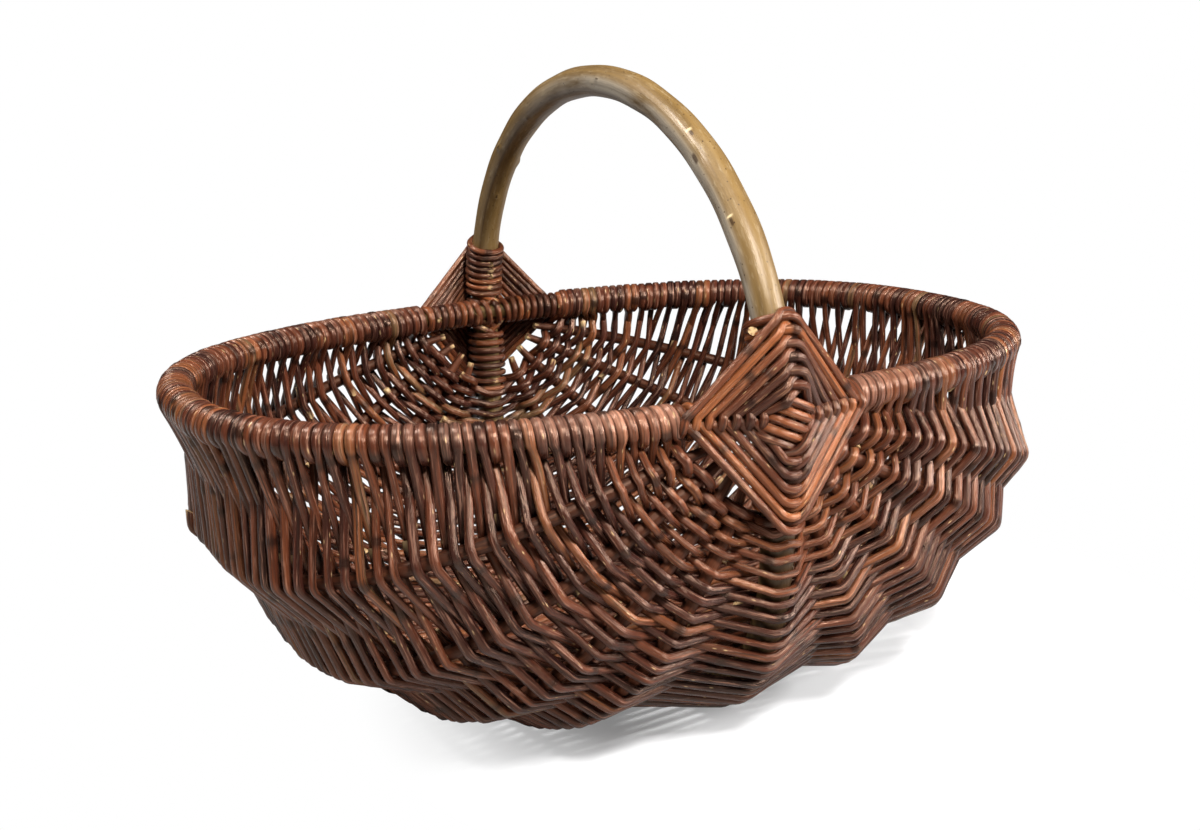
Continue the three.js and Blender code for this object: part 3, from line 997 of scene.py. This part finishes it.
@dataclass
class Weave:
    """The woven rods, which run from rim to rim over and under the ribs and turn round the rim."""

    COURSES = (
        ("weave_front_1", 18), ("weave_front_2", 18), ("weave_front_3", 18), ("weave_front_4", 16),
        ("weave_back_4", 16), ("weave_back_3", 18), ("weave_back_2", 18), ("weave_back_1", 18),
    )
    # Where a turn with no row outside starts round the rim, and where one with no row inside ends.
    LOOSE_DEGREES = (-75.0, 255.0)

    skeleton: Skeleton
    seed: int = 21
    # The rods, and how finely they are meshed.
    rod_radius: float = 0.00268
    radius_spread: float = 0.0003
    radius_limits: tuple[float, float] = (0.0021, 0.0035)
    tapers: tuple[float, float] = (0.0001, 0.0004)
    rod_length: tuple[float, float] = (0.62, 1.05)
    bud_gaps: tuple[float, float] = (0.05, 0.13)
    most_buds: int = 24
    tone_spread: tuple[float, float] = (1.3, 1.5)
    wave: float = 0.00016
    wave_rates: tuple[float, ...] = (21.0, 47.0, 83.0)
    sides: int = 12
    fine_step: float = 0.0012
    step: float = 0.006
    bend_step: float = 22
    # How evenly the rows lie, as shares of the distance between two, and how they pass the frame rods.
    row_scatter: float = 0.08
    place_scatter: float = 0.16
    least_wrap: float = 0.12
    steepest: float = 0.8
    ease: float = 0.0032
    # The wraps round the rim.
    wrap_pitch: float = 0.00635
    wrap_swell: float = 1.15
    wrap_press: float = 0.8
    wrap_start: float = 0.25
    wrap_step: float = 30
    # How a rod starts beside the end of the one before, and how many of these joins lie outside.
    lift: float = 1.5
    lift_length: float = 0.024
    overlap: float = 0.012
    outside_ends: float = 0.05
    # Where a painted sheen lightens the rim's wraps: on their top and outer side, most near the handle.
    painted_sheen_middle: float = -0.05
    painted_sheen_reach: float = 0.2
    painted_sheen_top: float = 0.75
    painted_sheen_outside: float = 0.55
    least_painted_sheen: float = 0.25

    def __post_init__(self) -> None:
        """Places every row on every frame rod."""
        self.rng = np.random.default_rng(self.seed)
        self.rows = sum(count for _, count in self.COURSES)
        members = self.skeleton.members
        self.right = len(members) - 1
        middles = np.arange(self.rows) + 0.5
        shares = (middles + self.rng.normal(0, self.row_scatter, self.rows)) / self.rows
        scatter = self.rng.normal(0, self.place_scatter, (self.rows, len(members))) / self.rows
        self.share = shares[:, None] + scatter
        self.turns = {member: self._plan_turns(member) for member in (0, self.right)}
        for member, turns in self.turns.items():
            for turn in turns:
                if turn.outer >= 0:
                    self.share[turn.outer, member] = turn.share_at(0.0)
                if turn.inner >= 0:
                    self.share[turn.inner, member] = turn.share_at(turn.inner_degrees)
        crossed = [(member, member.length_at(self.share[:, i])) for i, member in enumerate(members)]
        self.place = np.stack([member.line.at(length) for member, length in crossed], axis=1)
        self.ahead = np.stack([member.line.ahead(length) for member, length in crossed], axis=1)
        self.radius = np.stack([member.radius_at(length) for member, length in crossed], axis=1)
        edged = np.pad(self.place, ((0, 0), (1, 1), (0, 0)), mode="edge")
        beside = edged[:, 2:] - edged[:, :-2]
        beside -= self.ahead * np.sum(beside * self.ahead, axis=2, keepdims=True)
        self.beside = unit(beside)
        self.outward = np.cross(self.ahead, self.beside)

    def _courses(self) -> list[tuple[str, int, int]]:
        """Each course's name, its first row and the row after its last one."""
        ends = np.cumsum([count for _, count in self.COURSES]).tolist()
        return [(name, end - count, end) for (name, count), end in zip(self.COURSES, ends)]

    def _plan_turns(self, member: int) -> list[RimTurn]:
        """Deals single and double wraps to the turns of one rim so that they fill it evenly.

        Args:
            member: The rim's number among the frame rods.

        Returns:
            The turns of all courses, from the front to the back.
        """
        woven = self.skeleton.members[member].woven
        turns: list[RimTurn] = []
        for _, first, last in self._courses():
            if member == 0:
                pairs = [(row, row + 1) for row in range(first, last, 2)]
            else:
                inner_turns = [(row + 1, row) for row in range(first + 1, last - 1, 2)]
                pairs = [(first, -1), *inner_turns, (-1, last - 1)]
            span = (last - first) / self.rows
            total = max(len(pairs), int(round(span * woven / self.wrap_pitch)))
            whole = [i for i, pair in enumerate(pairs) if min(pair) >= 0]
            doubled = set(self.rng.permutation(whole)[:max(0, total - len(pairs))].tolist())
            wraps = [2 if i in doubled else 1 for i in range(len(pairs))]
            pitch = span / sum(wraps)
            done = 0
            for (outer, inner), number in zip(pairs, wraps):
                start = first / self.rows + (done + self.wrap_start) * pitch
                turns.append(RimTurn(outer, inner, number, start, pitch))
                done += number
        return turns

    def _sign(self, row: int, member: int) -> int:
        """1 where the row passes outside the frame rod, -1 where it passes inside."""
        return 1 if (row + member) % 2 == 0 else -1

    def _contacts(self, row: int, member: int) -> tuple[Array, Array]:
        """Where a straight stretch touches a frame rod and the next one, as directions from their middles.

        Args:
            row: The row's number.
            member: The number of the frame rod on the left.

        Returns:
            The directions at the left and the right frame rod.
        """
        gap = self.place[row, member + 1] - self.place[row, member]
        distance = float(np.linalg.norm(gap))
        along = gap / distance
        normal = self.outward[row, member] + self.outward[row, member + 1]
        normal = unit(normal - along * float(normal @ along)) * self._sign(row, member)
        reach = self.radius[row, member] + self.radius[row, member + 1] + 2 * self.rod_radius
        sine = min(reach / distance, self.steepest)
        touch = normal * math.sqrt(1 - sine * sine) + along * sine
        return touch, -touch

    def _row_points(self, row: int) -> tuple[Array, list[tuple[int, int]]]:
        """The way of a row from the left rim to the right one, without the turns round them.

        Args:
            row: The row's number.

        Returns:
            Its stations, as for a course, and each pass over a rib as a station's index and its sign.
        """
        points: list[Array] = []
        outward: list[Array] = []
        passes: list[tuple[int, int]] = []
        leave, _ = self._contacts(row, 0)
        start = self.place[row, 0] + leave * (self.radius[row, 0] + self.rod_radius)
        for member in range(1, self.right + 1):
            _, touch = self._contacts(row, member - 1)
            middle, reach = self.place[row, member], self.radius[row, member] + self.rod_radius
            normal = self.outward[row, member]
            arrive = middle + touch * reach
            if member == self.right:
                break
            leave, _ = self._contacts(row, member)
            apex = middle + unit(touch + leave) * reach
            onward = middle + leave * reach
            wraps = float((leave - touch) @ self.beside[row, member]) > self.least_wrap
            if not wraps:
                arrive = onward = apex
            run = unit(arrive - start) * self.ease
            points += [start + run, arrive - run, *[arrive] * wraps]
            passes.append((len(points), self._sign(row, member)))
            points += [apex, *[onward] * wraps]
            outward += [normal] * (len(points) - len(outward))
            start = onward
        run = unit(arrive - start) * self.ease
        points += [start + run, arrive - run]
        ways = np.array([*outward, normal, normal])
        facing = ways if row % 2 == 0 else -ways
        return np.column_stack([points, ways, facing, np.zeros(len(points))]), passes

    def _turn_points(self, turn: RimTurn, member: int) -> Array:
        """The way of a turn round the rim, from outside up and over to the inside.

        Args:
            turn: The turn.
            member: The rim's number among the frame rods.

        Returns:
            Its stations, as for a course.
        """
        rim = self.skeleton.members[member]
        outer = turn.outer if turn.outer >= 0 else turn.inner
        inner = turn.inner if turn.inner >= 0 else turn.outer
        low, high = self.LOOSE_DEGREES
        if turn.outer >= 0:
            low = self._leaving_degrees(outer, member, 0.0)
        if turn.inner >= 0:
            high = self._leaving_degrees(inner, member, turn.inner_degrees)
        degrees = np.linspace(low, high, int(round((high - low) / self.wrap_step)) + 1)
        blend = np.clip(degrees / turn.inner_degrees, 0, 1)[:, None]
        centre = rim.line.at(rim.length_at(turn.share_at(degrees)))
        outward = unit(self.outward[outer, member] * (1 - blend) + self.outward[inner, member] * blend)
        beside = self.beside[outer, member] * (1 - blend) + self.beside[inner, member] * blend
        angle = np.radians(degrees)[:, None]
        off = np.cos(angle) * outward + np.sin(angle) * (self._side(member) * unit(beside))
        points = centre + (rim.radius + self.rod_radius * self.wrap_swell) * off
        return np.column_stack([points, outward, off, np.ones(len(points))])

    @staticmethod
    def _side(rim: int) -> int:
        """-1 for the left rim, 1 for the right one."""
        return -1 if rim == 0 else 1

    def _leaving_degrees(self, row: int, member: int, near: float) -> float:
        """Degrees round the rim at which a row's straight stretch touches it.

        Args:
            row: The row's number.
            member: The rim's number among the frame rods.
            near: Degrees that the result is close to, as it counts on after a whole round.

        Returns:
            The degrees.
        """
        touch = self._contacts(row, 0)[0] if member == 0 else self._contacts(row, member - 1)[1]
        height = self._side(member) * float(touch @ self.beside[row, member])
        angle = math.degrees(math.atan2(height, float(touch @ self.outward[row, member])))
        return near + (angle - near + 180) % 360 - 180

    def _course_path(self, first: int, last: int) -> tuple[Array, list[tuple[int, int]]]:
        """The unbroken way of the weave through the rows of a course.

        Args:
            first: First row.
            last: Row after the last one.

        Returns:
            Its stations: a point, the outward direction, the way the rod's outer side looks and the
            pressing against the rim. Then each pass over a rib, as a station's index and its sign.
        """
        turns = {
            member: {row: turn for turn in all_turns for row in (turn.outer, turn.inner) if row >= 0}
            for member, all_turns in self.turns.items()
        }
        stations = [self._turn_points(turns[self.right][first], self.right)[::-1]]
        passes: list[tuple[int, int]] = []
        for row in range(first, last):
            leftward = row % 2 == 0
            line, crossed = self._row_points(row)
            before = sum(len(part) for part in stations)
            for index, sign in crossed:
                passes.append((before + (len(line) - 1 - index if leftward else index), sign))
            rim = 0 if leftward else self.right
            turn = self._turn_points(turns[rim][row], rim)
            stations += [line[::-1], turn] if leftward else [line, turn[::-1]]
        return np.concatenate(stations), sorted(passes)

    def _course_rods(self, first: int, last: int) -> list[Rod]:
        """Cuts the way of one course into rods that end over or under a rib.

        Args:
            first: First row.
            last: Row after the last one.

        Returns:
            The rods.
        """
        stations, passes = self._course_path(first, last)
        fine, values, marks = smooth_path(stations[:, :3], stations[:, 3:], self.fine_step)
        walked = walked_along(fine)
        joins = [(0.0, 0)]
        while walked[-1] - joins[-1][0] > self.rod_length[1]:
            wanted = joins[-1][0] + self.rng.uniform(*self.rod_length)
            sign = 1 if self.rng.random() < self.outside_ends else -1
            places = [walked[marks[index]] for index, side in passes if side == sign]
            joins.append((min(places, key=lambda place: abs(place - wanted)), sign))
        joins.append((float(walked[-1]), 0))
        rods = []
        for (start, start_sign), (end, _) in zip(joins, joins[1:]):
            low = int(np.searchsorted(walked, max(start - self.overlap, 0)))
            high = int(np.searchsorted(walked, min(end + self.overlap, walked[-1]))) + 1
            rods.append(self._rod(fine[low:high], values[low:high], start_sign))
        return rods

    def _rod(self, points: Array, values: Array, start_sign: int) -> Rod:
        """Makes a rod of a stretch of the way, with its start laid beside the end of the one before.

        Args:
            points: The stretch.
            values: Outward directions along it, the way its outer side looks and the pressing.
            start_sign: 1 to lay the start outside, -1 inside, 0 to leave it.

        Returns:
            The rod.
        """
        rng = self.rng
        outward = unit(values[:, :3])
        walked = walked_along(points)
        lift = np.exp(-((walked / self.lift_length) ** 2)) * self.rod_radius * self.lift * start_sign
        points = points + outward * lift[:, None]
        for rate in self.wave_rates:
            phase = rng.uniform(0, 2 * math.pi)
            points = points + outward * (self.wave * np.sin(walked * rate + phase))[:, None]
        kept = thin_path(points, self.step, self.bend_step)
        points[:, 2] = np.maximum(points[:, 2], self.rod_radius + 3 * self.radius_spread)
        size = self.rod_radius + rng.normal(0, self.radius_spread)
        taper = rng.uniform(*self.tapers) * rng.choice([-1.0, 1.0])
        pressed = values[kept, 6]
        free = size + taper * (1 - 2 * walked[kept] / walked[-1])
        radii = free + (self.rod_radius * self.wrap_swell - free) * pressed * self.wrap_press
        buds = np.cumsum(rng.uniform(*self.bud_gaps, self.most_buds))
        facing = unit(values[kept, 3:6])
        tone, seed = float(rng.beta(*self.tone_spread)), float(rng.random())
        # A painted sheen on the rim's wraps, stronger on some rods than on others.
        painted_sheen = pressed * self._painted_sheen_at(points[kept], facing, outward[kept])
        painted_sheen *= self.least_painted_sheen + (1 - self.least_painted_sheen) * seed
        return Rod(
            points[kept], np.clip(radii, *self.radius_limits), tone, seed, buds[buds < walked[-1]],
            facing=facing, squared=pressed, painted_sheen=painted_sheen,
        )

    def _painted_sheen_at(self, points: Array, facing: Array, outward: Array) -> Array:
        """How strongly a painted sheen lightens places on the rim, from 0 to 1: most on top and near the
        handle.

        Args:
            points: The places.
            facing: The way the rod's outer side looks there.
            outward: The way out of the basket there.

        Returns:
            The values.
        """
        turned = self.painted_sheen_top * facing[:, 2] + self.painted_sheen_outside * np.sum(facing * outward, axis=1)
        turned *= np.exp(-(((points[:, 0] - self.painted_sheen_middle) / self.painted_sheen_reach) ** 2))
        return np.clip(turned, 0, 1)

    def build(self) -> None:
        """Builds all courses and puts them in place of their solids."""
        material = Finishes.WEAVE.make()
        for name, first, last in self._courses():
            rods = self._course_rods(first, last)
            fit(RodMesher(self.sides, rods).finish(f"{name}_rods", material), name)


@dataclass(frozen=True)
class Arm:
    """One arm of a crossing, with the way the lashing sits on it.

    Args:
        line: The rod's centreline.
        toward: Direction from the crossing along the arm.
        reach: Distance from the rod's centre to the lashing rod's centre.
        start: Where on the arm the first round sits.
        pitch: Distance between rounds.
        rise: How far the first rounds stand proud of the arm.
    """

    line: RodLine
    toward: Array
    reach: float
    start: float
    pitch: float
    rise: float


@dataclass
class Lashing:
    """A diamond lashing: rods wound round the four arms of a crossing, from the middle outwards."""

    # A round of an arm: sideways to the next arm and up to the front in reaches, layers off the arm,
    # further out along it in reaches, and the share of the way from the incoming place to the outgoing.
    ROUND = (
        (-0.52, 0.94, 0.85, -0.42, 0.0), (-0.14, 1.0, 0.55, -0.10, 0.0), (0.26, 0.98, 0.05, 0.0, 0.05),
        (0.78, 0.64, 0.0, 0.0, 0.12), (1.0, 0.0, 0.0, 0.0, 0.25), (0.74, -0.70, 0.0, 0.0, 0.4),
        (0.0, -1.0, 0.0, 0.0, 0.5), (-0.74, -0.70, 0.0, 0.0, 0.6), (-1.0, 0.0, 0.0, 0.0, 0.8),
        (-0.86, 0.52, 0.0, 0.0, 0.95), (-0.52, 0.88, 0.1, 0.0, 1.0), (-0.16, 1.0, 0.6, 0.0, 1.0),
        (0.22, 1.0, 0.92, -0.02, 1.0), (0.58, 0.9, 0.95, -0.16, 1.0),
    )
    BEHIND = 6
    # Wraps over the middle: slope, offset from the middle and lift off the handle.
    CROSSES = (
        (0.85, -0.0122, -0.001), (0.85, -0.0066, -0.001), (0.85, 0.0, -0.001), (0.85, 0.0066, -0.001),
        (-0.46, 0.0096, 0.0015), (-0.46, -0.0150, 0.0005), (-0.46, -0.0092, 0.0018), (-0.46, 0.0034, 0.0034),
        (-0.46, -0.0030, 0.0034),
    )
    # Where the first round sits on the left, upper, right and lower arm, and the distance between rounds.
    ROUNDS = ((0.0130, 0.0073), (0.0133, 0.0070), (0.0138, 0.0075), (0.0133, 0.0082))

    skeleton: Skeleton
    end: End
    seed: int = 40
    # The winding.
    turns: int = 26
    closeness: float = 1.0
    layer: float = 1.8
    shift: float = 0.5
    dome: float = 0.0105
    bow_dome: float = 0.001
    dome_rounds: float = 4.4
    bend: float = 0.08
    tail: float = 0.005
    tuck: float = 1.3
    sleeve_reach: float = 0.0168
    sleeve_pitch: float = 0.0084
    sleeve_step: int = 30
    # The rods, and how finely they are meshed.
    rod_radius: float = 0.00285
    radius_shares: tuple[float, float] = (0.93, 1.04)
    taper: float = 0.06
    longest_rod: float = 0.75
    rod_length: tuple[float, float] = (0.3, 0.6)
    bud_gaps: tuple[float, float] = (0.04, 0.12)
    most_buds: int = 14
    tone_spread: tuple[float, float] = (1.3, 1.3)
    sides: int = 14
    fine_step: float = 0.0011
    step: float = 0.005
    bend_step: float = 18

    def _arms(self) -> list[Arm]:
        """The four arms.

        Returns:
            The arms in winding order: left, up, right and down.
        """
        s = self.skeleton
        rim, bow = s.sizes.rim_rod_radius + self.rod_radius, s.sizes.handle_rod_radius + self.rod_radius
        rods = (
            (s.rims[0], -RIGHT, rim, self.dome), (s.handle, UP, bow, self.bow_dome),
            (s.rims[1], RIGHT, rim, self.dome), (s.keel, -UP, bow, self.bow_dome),
        )
        return [
            Arm(line, toward, reach, start, pitch * self.closeness, rise)
            for (line, toward, reach, rise), (start, pitch) in zip(rods, self.ROUNDS)
        ]

    def _winding(self) -> tuple[Array, list[int]]:
        """Works out the way of the winding rod.

        Returns:
            Its control points, and the indexes of those behind the arms.
        """
        arms = self._arms()
        front = np.array([0.0, float(self.end.value), 0.0])
        layer = self.layer * self.rod_radius
        points: list[Array] = []
        behind: list[int] = []
        for turn in range(self.turns):
            arm, across = arms[turn % len(arms)], arms[(turn + 1) % len(arms)].toward
            rounds = turn / len(arms)
            dome = arm.rise * max(1 - rounds * self.closeness / self.dome_rounds, 0.0)
            onward = self.shift if turn < self.turns - 1 else -self.tuck
            stretch = []
            for sideways, height, layers, out, share in self.ROUND:
                distance = arm.start + arm.pitch * (rounds + onward * share) + out * arm.reach
                length = np.array(distance if self.end is End.FRONT else arm.line.length - distance)
                ahead = arm.line.ahead(length)
                outward = unit(front - ahead * float(front @ ahead))
                proud = arm.reach * height + layer * layers + dome * max(height, 0.0)
                stretch.append(arm.line.at(length) + across * arm.reach * sideways + outward * proud)
            if points:
                run = stretch[0] - points[-1]
                points += [points[-1] + run * self.bend, points[-1] + run * (1 - self.bend)]
            behind.append(len(points) + self.BEHIND)
            points += stretch
        last = len(points) - len(self.ROUND) + self.BEHIND + 2
        free = points[last] + unit(points[last] - points[last - 1]) * self.tail
        return np.array([*points[behind[0]:last + 1], free]), [i - behind[0] for i in behind]

    def _cross(self, slope: float, offset: float, lift: float) -> Array:
        """Control points of one slanting wrap over the middle of the crossing, from behind it.

        Args:
            slope: How steeply it rises to the right.
            offset: Distance from the crossing's middle.
            lift: How far it stands off the handle.

        Returns:
            The points of one turn.
        """
        s = self.skeleton.sizes
        along = unit(np.array([1.0, 0.0, slope]))
        aside = np.array([-along[2], 0.0, along[0]])
        front = float(self.end.value)
        face = s.handle_half_span + s.handle_rod_radius + self.rod_radius + lift
        back = s.rim_half_width + 0.001
        side = s.handle_rod_radius + self.rod_radius + 0.0006
        # Half of the wrap, from its middle behind: along the slant, and out from the basket's middle.
        half = [
            (0.0, back), (0.0095, back + 0.001), (side + 0.0004, back + 0.008), (side, face - 0.0085),
            (0.0104, face - 0.0030), (0.0062, face - 0.0004),
        ]
        profile = [(-a, y) for a, y in half] + [(0.0, face)] + half[::-1]
        middle = UP * s.rim_level
        return np.array([
            middle + along * a + aside * offset + np.array([0.0, front * y, 0.0]) for a, y in profile
        ])

    def _sleeve(self) -> Array:
        """Works out the winding round the rim where it passes inside the handle.

        Returns:
            Its control points.
        """
        s = self.skeleton.sizes
        turns = round(2 * self.sleeve_reach / self.sleeve_pitch)
        angle = np.radians(np.arange(0, turns * 360 + 1, self.sleeve_step))
        radius = s.rim_rod_radius + self.rod_radius
        return np.column_stack([
            np.linspace(-self.sleeve_reach, self.sleeve_reach, len(angle)),
            self.end.value * (s.rim_half_width + radius * np.cos(angle)),
            s.rim_level + radius * np.sin(angle),
        ])

    def _rods(self) -> list[Rod]:
        """All rods of the lashing: those of the winding, the sleeve and the wraps over the middle.

        Returns:
            The rods.
        """
        rng = np.random.default_rng(self.seed + self.end.value)
        control, behind = self._winding()
        fine, marks = self._fine(control)
        walked = walked_along(fine)
        hidden = walked[marks[behind]]
        joins = [0.0]
        while walked[-1] - joins[-1] > self.longest_rod:
            wanted = joins[-1] + rng.uniform(*self.rod_length)
            joins.append(float(hidden[np.argmin(np.abs(hidden - wanted))]))
        joins.append(float(walked[-1]))
        ends = [np.searchsorted(walked, (start, end)) for start, end in zip(joins, joins[1:])]
        ways = [fine[low:high + 1] for low, high in ends]
        for control in (self._sleeve(), *(self._cross(*cross) for cross in self.CROSSES)):
            ways.append(self._fine(control)[0])
        return [self._strand(way, rng) for way in ways]

    def _fine(self, control: Array) -> tuple[Array, Array]:
        """A smooth line through control points, and the indexes of those."""
        fine, _, marks = smooth_path(control, np.zeros((len(control), 1)), self.fine_step)
        return fine, marks

    def _strand(self, points: Array, rng: np.random.Generator) -> Rod:
        """Makes a lashing rod.

        Args:
            points: Its way.
            rng: Draws its thickness, buds, shade and pattern.

        Returns:
            The rod.
        """
        kept = thin_path(points, self.step, self.bend_step)
        walked = walked_along(points)
        size = self.rod_radius * rng.uniform(*self.radius_shares)
        radii = size * (1 - self.taper * walked[kept] / walked[-1])
        buds = np.cumsum(rng.uniform(*self.bud_gaps, self.most_buds))
        tone, seed = float(rng.beta(*self.tone_spread)), float(rng.random())
        return Rod(points[kept], radii, tone, seed, buds[buds < walked[-1]])

    def build(self, name: str, material: Material) -> None:
        """Builds the lashing and puts it in place of its solid."""
        fit(RodMesher(self.sides, self._rods()).finish(f"{name}_rods", material), name)


def put(name: str, data: bpy.types.ID, place: Sequence[float], axes: Sequence[Array]) -> Piece:
    """Puts a lamp or camera in the scene.

    Args:
        name: Its name.
        data: The lamp or camera itself.
        place: Where it stands.
        axes: Its directions right, up and back.

    Returns:
        The new object.
    """
    thing = bpy.data.objects.new(name, data)
    turned = Matrix(np.stack(axes, axis=1).tolist()).to_4x4()
    thing.matrix_world = Matrix.Translation(place) @ turned
    bpy.context.scene.collection.objects.link(thing)
    return thing


@dataclass(frozen=True)
class Lamp:
    """A soft square lamp that faces the basket.

    Args:
        name: Its name.
        place: Where it hangs.
        size: Its side.
        power: Its power in watts.
    """

    name: str
    place: tuple[float, float, float]
    size: float
    power: float

    TARGET = UP * 0.15

    def hang(self) -> None:
        """Hangs the lamp in the scene."""
        data = bpy.data.lights.new(self.name, "AREA")
        data.size, data.energy = self.size, self.power
        back = unit(np.array(self.place) - self.TARGET)
        right = unit(np.cross(UP, back))
        put(self.name, data, self.place, [right, np.cross(back, right), back])


@dataclass(frozen=True)
class Studio:
    """Floor, lights and camera."""

    LAMPS = (
        Lamp("key", (1.45, -1.1, 0.85), 0.6, 62.0),
        Lamp("high", (-0.12, -1.4, 1.62), 0.42, 68.0),
        Lamp("top", (-0.25, -0.4, 1.75), 1.0, 7.0),
        Lamp("left", (-1.4, -1.2, 0.8), 0.7, 1.8),
        Lamp("back", (-0.85, 0.45, 1.75), 0.4, 36.0),
    )

    camera_place: tuple[float, float, float] = (-0.4579, -0.9103, 0.42875)
    camera_turn: float = 26.439
    camera_tilt: float = 13.830
    camera_roll: float = -1.976
    sensor_width: float = 36.0
    focal_pixels: float = 1485.3
    picture_width: int = 1200
    nearest_seen: float = 0.01
    floor_size: float = 14.0
    shadow_middle: tuple[float, float, float] = (0.11, -0.08, 0.0)
    shadow_fade: tuple[float, float] = (0.17, 0.32)
    floor_white: float = 0.62
    floor_bounce: float = 0.38
    floor_glow: float = 0.22
    fill: float = 0.024

    def camera(self) -> None:
        """Sets up the camera."""
        turn, tilt, roll = (math.radians(a) for a in (self.camera_turn, self.camera_tilt, self.camera_roll))
        ahead = np.array([
            math.sin(turn) * math.cos(tilt), math.cos(turn) * math.cos(tilt), -math.sin(tilt),
        ])
        right = np.array([math.cos(turn), -math.sin(turn), 0.0])
        up = np.cross(right, ahead)
        rolled_right = math.cos(roll) * right + math.sin(roll) * up
        rolled_up = math.cos(roll) * up - math.sin(roll) * right
        data = bpy.data.cameras.new("camera")
        data.sensor_width = self.sensor_width
        data.lens = self.sensor_width * self.focal_pixels / self.picture_width
        data.clip_start = self.nearest_seen
        axes = [rolled_right, rolled_up, -ahead]
        bpy.context.scene.camera = put("camera", data, self.camera_place, axes)

    def floor(self) -> None:
        """Lays the plain pale floor, which fades into white away from the basket."""
        bpy.ops.object.select_all(action="DESELECT")
        bpy.ops.mesh.primitive_plane_add(size=self.floor_size, location=(0.0, 0.0, 0.0))
        plane = bpy.context.object
        plane.name = "floor"
        material = bpy.data.materials.new("floor_white")
        material.use_nodes = True
        material.node_tree.nodes.clear()
        tree = NodeTree(material.node_tree)
        seen = tree.add("LightPath", {}, "Is Camera Ray")
        pale = tree.spread(seen, (0.0, 1.0), self.floor_white, self.floor_bounce)
        matt = tree.add("BsdfDiffuse", {"Color": pale})
        glow = tree.add("Emission", {"Strength": tree.product(seen, self.floor_glow)})
        lit = tree.add("AddShader", {0: matt, 1: glow})
        place = tree.add("TexCoord", {}, "Object")
        away = tree.add("VectorMath", {0: place, 1: self.shadow_middle}, "Value", operation="DISTANCE")
        fade = tree.spread(away, self.shadow_fade, interpolation_type="SMOOTHSTEP")
        white = tree.add("Emission", {"Strength": 1.0})
        mix = tree.add("MixShader", {0: tree.product(fade, seen), 1: lit, 2: white})
        tree.node("OutputMaterial", {"Surface": mix})
        plane.data.materials.append(material)

    def world(self) -> None:
        """Fills the studio with even light before a white backdrop."""
        world = bpy.data.worlds.new("studio")
        bpy.context.scene.world = world
        world.use_nodes = True
        tree = NodeTree(world.node_tree)
        seen = tree.add("LightPath", {}, "Is Camera Ray")
        strength = tree.spread(seen, (0.0, 1.0), 1.0, self.fill)
        background = world.node_tree.nodes["Background"]
        tree.feed(background, {"Color": (1.0, 1.0, 1.0, 1.0), "Strength": strength})

    def build(self) -> None:
        """Sets up the whole studio."""
        bpy.context.scene.view_settings.view_transform = "Standard"
        self.camera()
        self.floor()
        self.world()
        for lamp in self.LAMPS:
            lamp.hang()


def main() -> None:
    """Builds the studio and the basket in order."""
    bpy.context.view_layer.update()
    Studio().build()
    skeleton = Skeleton(FrameSizes())
    Hoops(skeleton).build()
    Weave(skeleton).build()
    lashing_wood = Finishes.LASHING.make()
    lashings = {
        "lashing_front": Lashing(skeleton, End.FRONT),
        "lashing_back": Lashing(skeleton, End.BACK, turns=33, rod_radius=0.0025, closeness=0.79),
    }
    for name, lashing in lashings.items():
        lashing.build(name, lashing_wood)


if __name__ == "__main__":
    main()
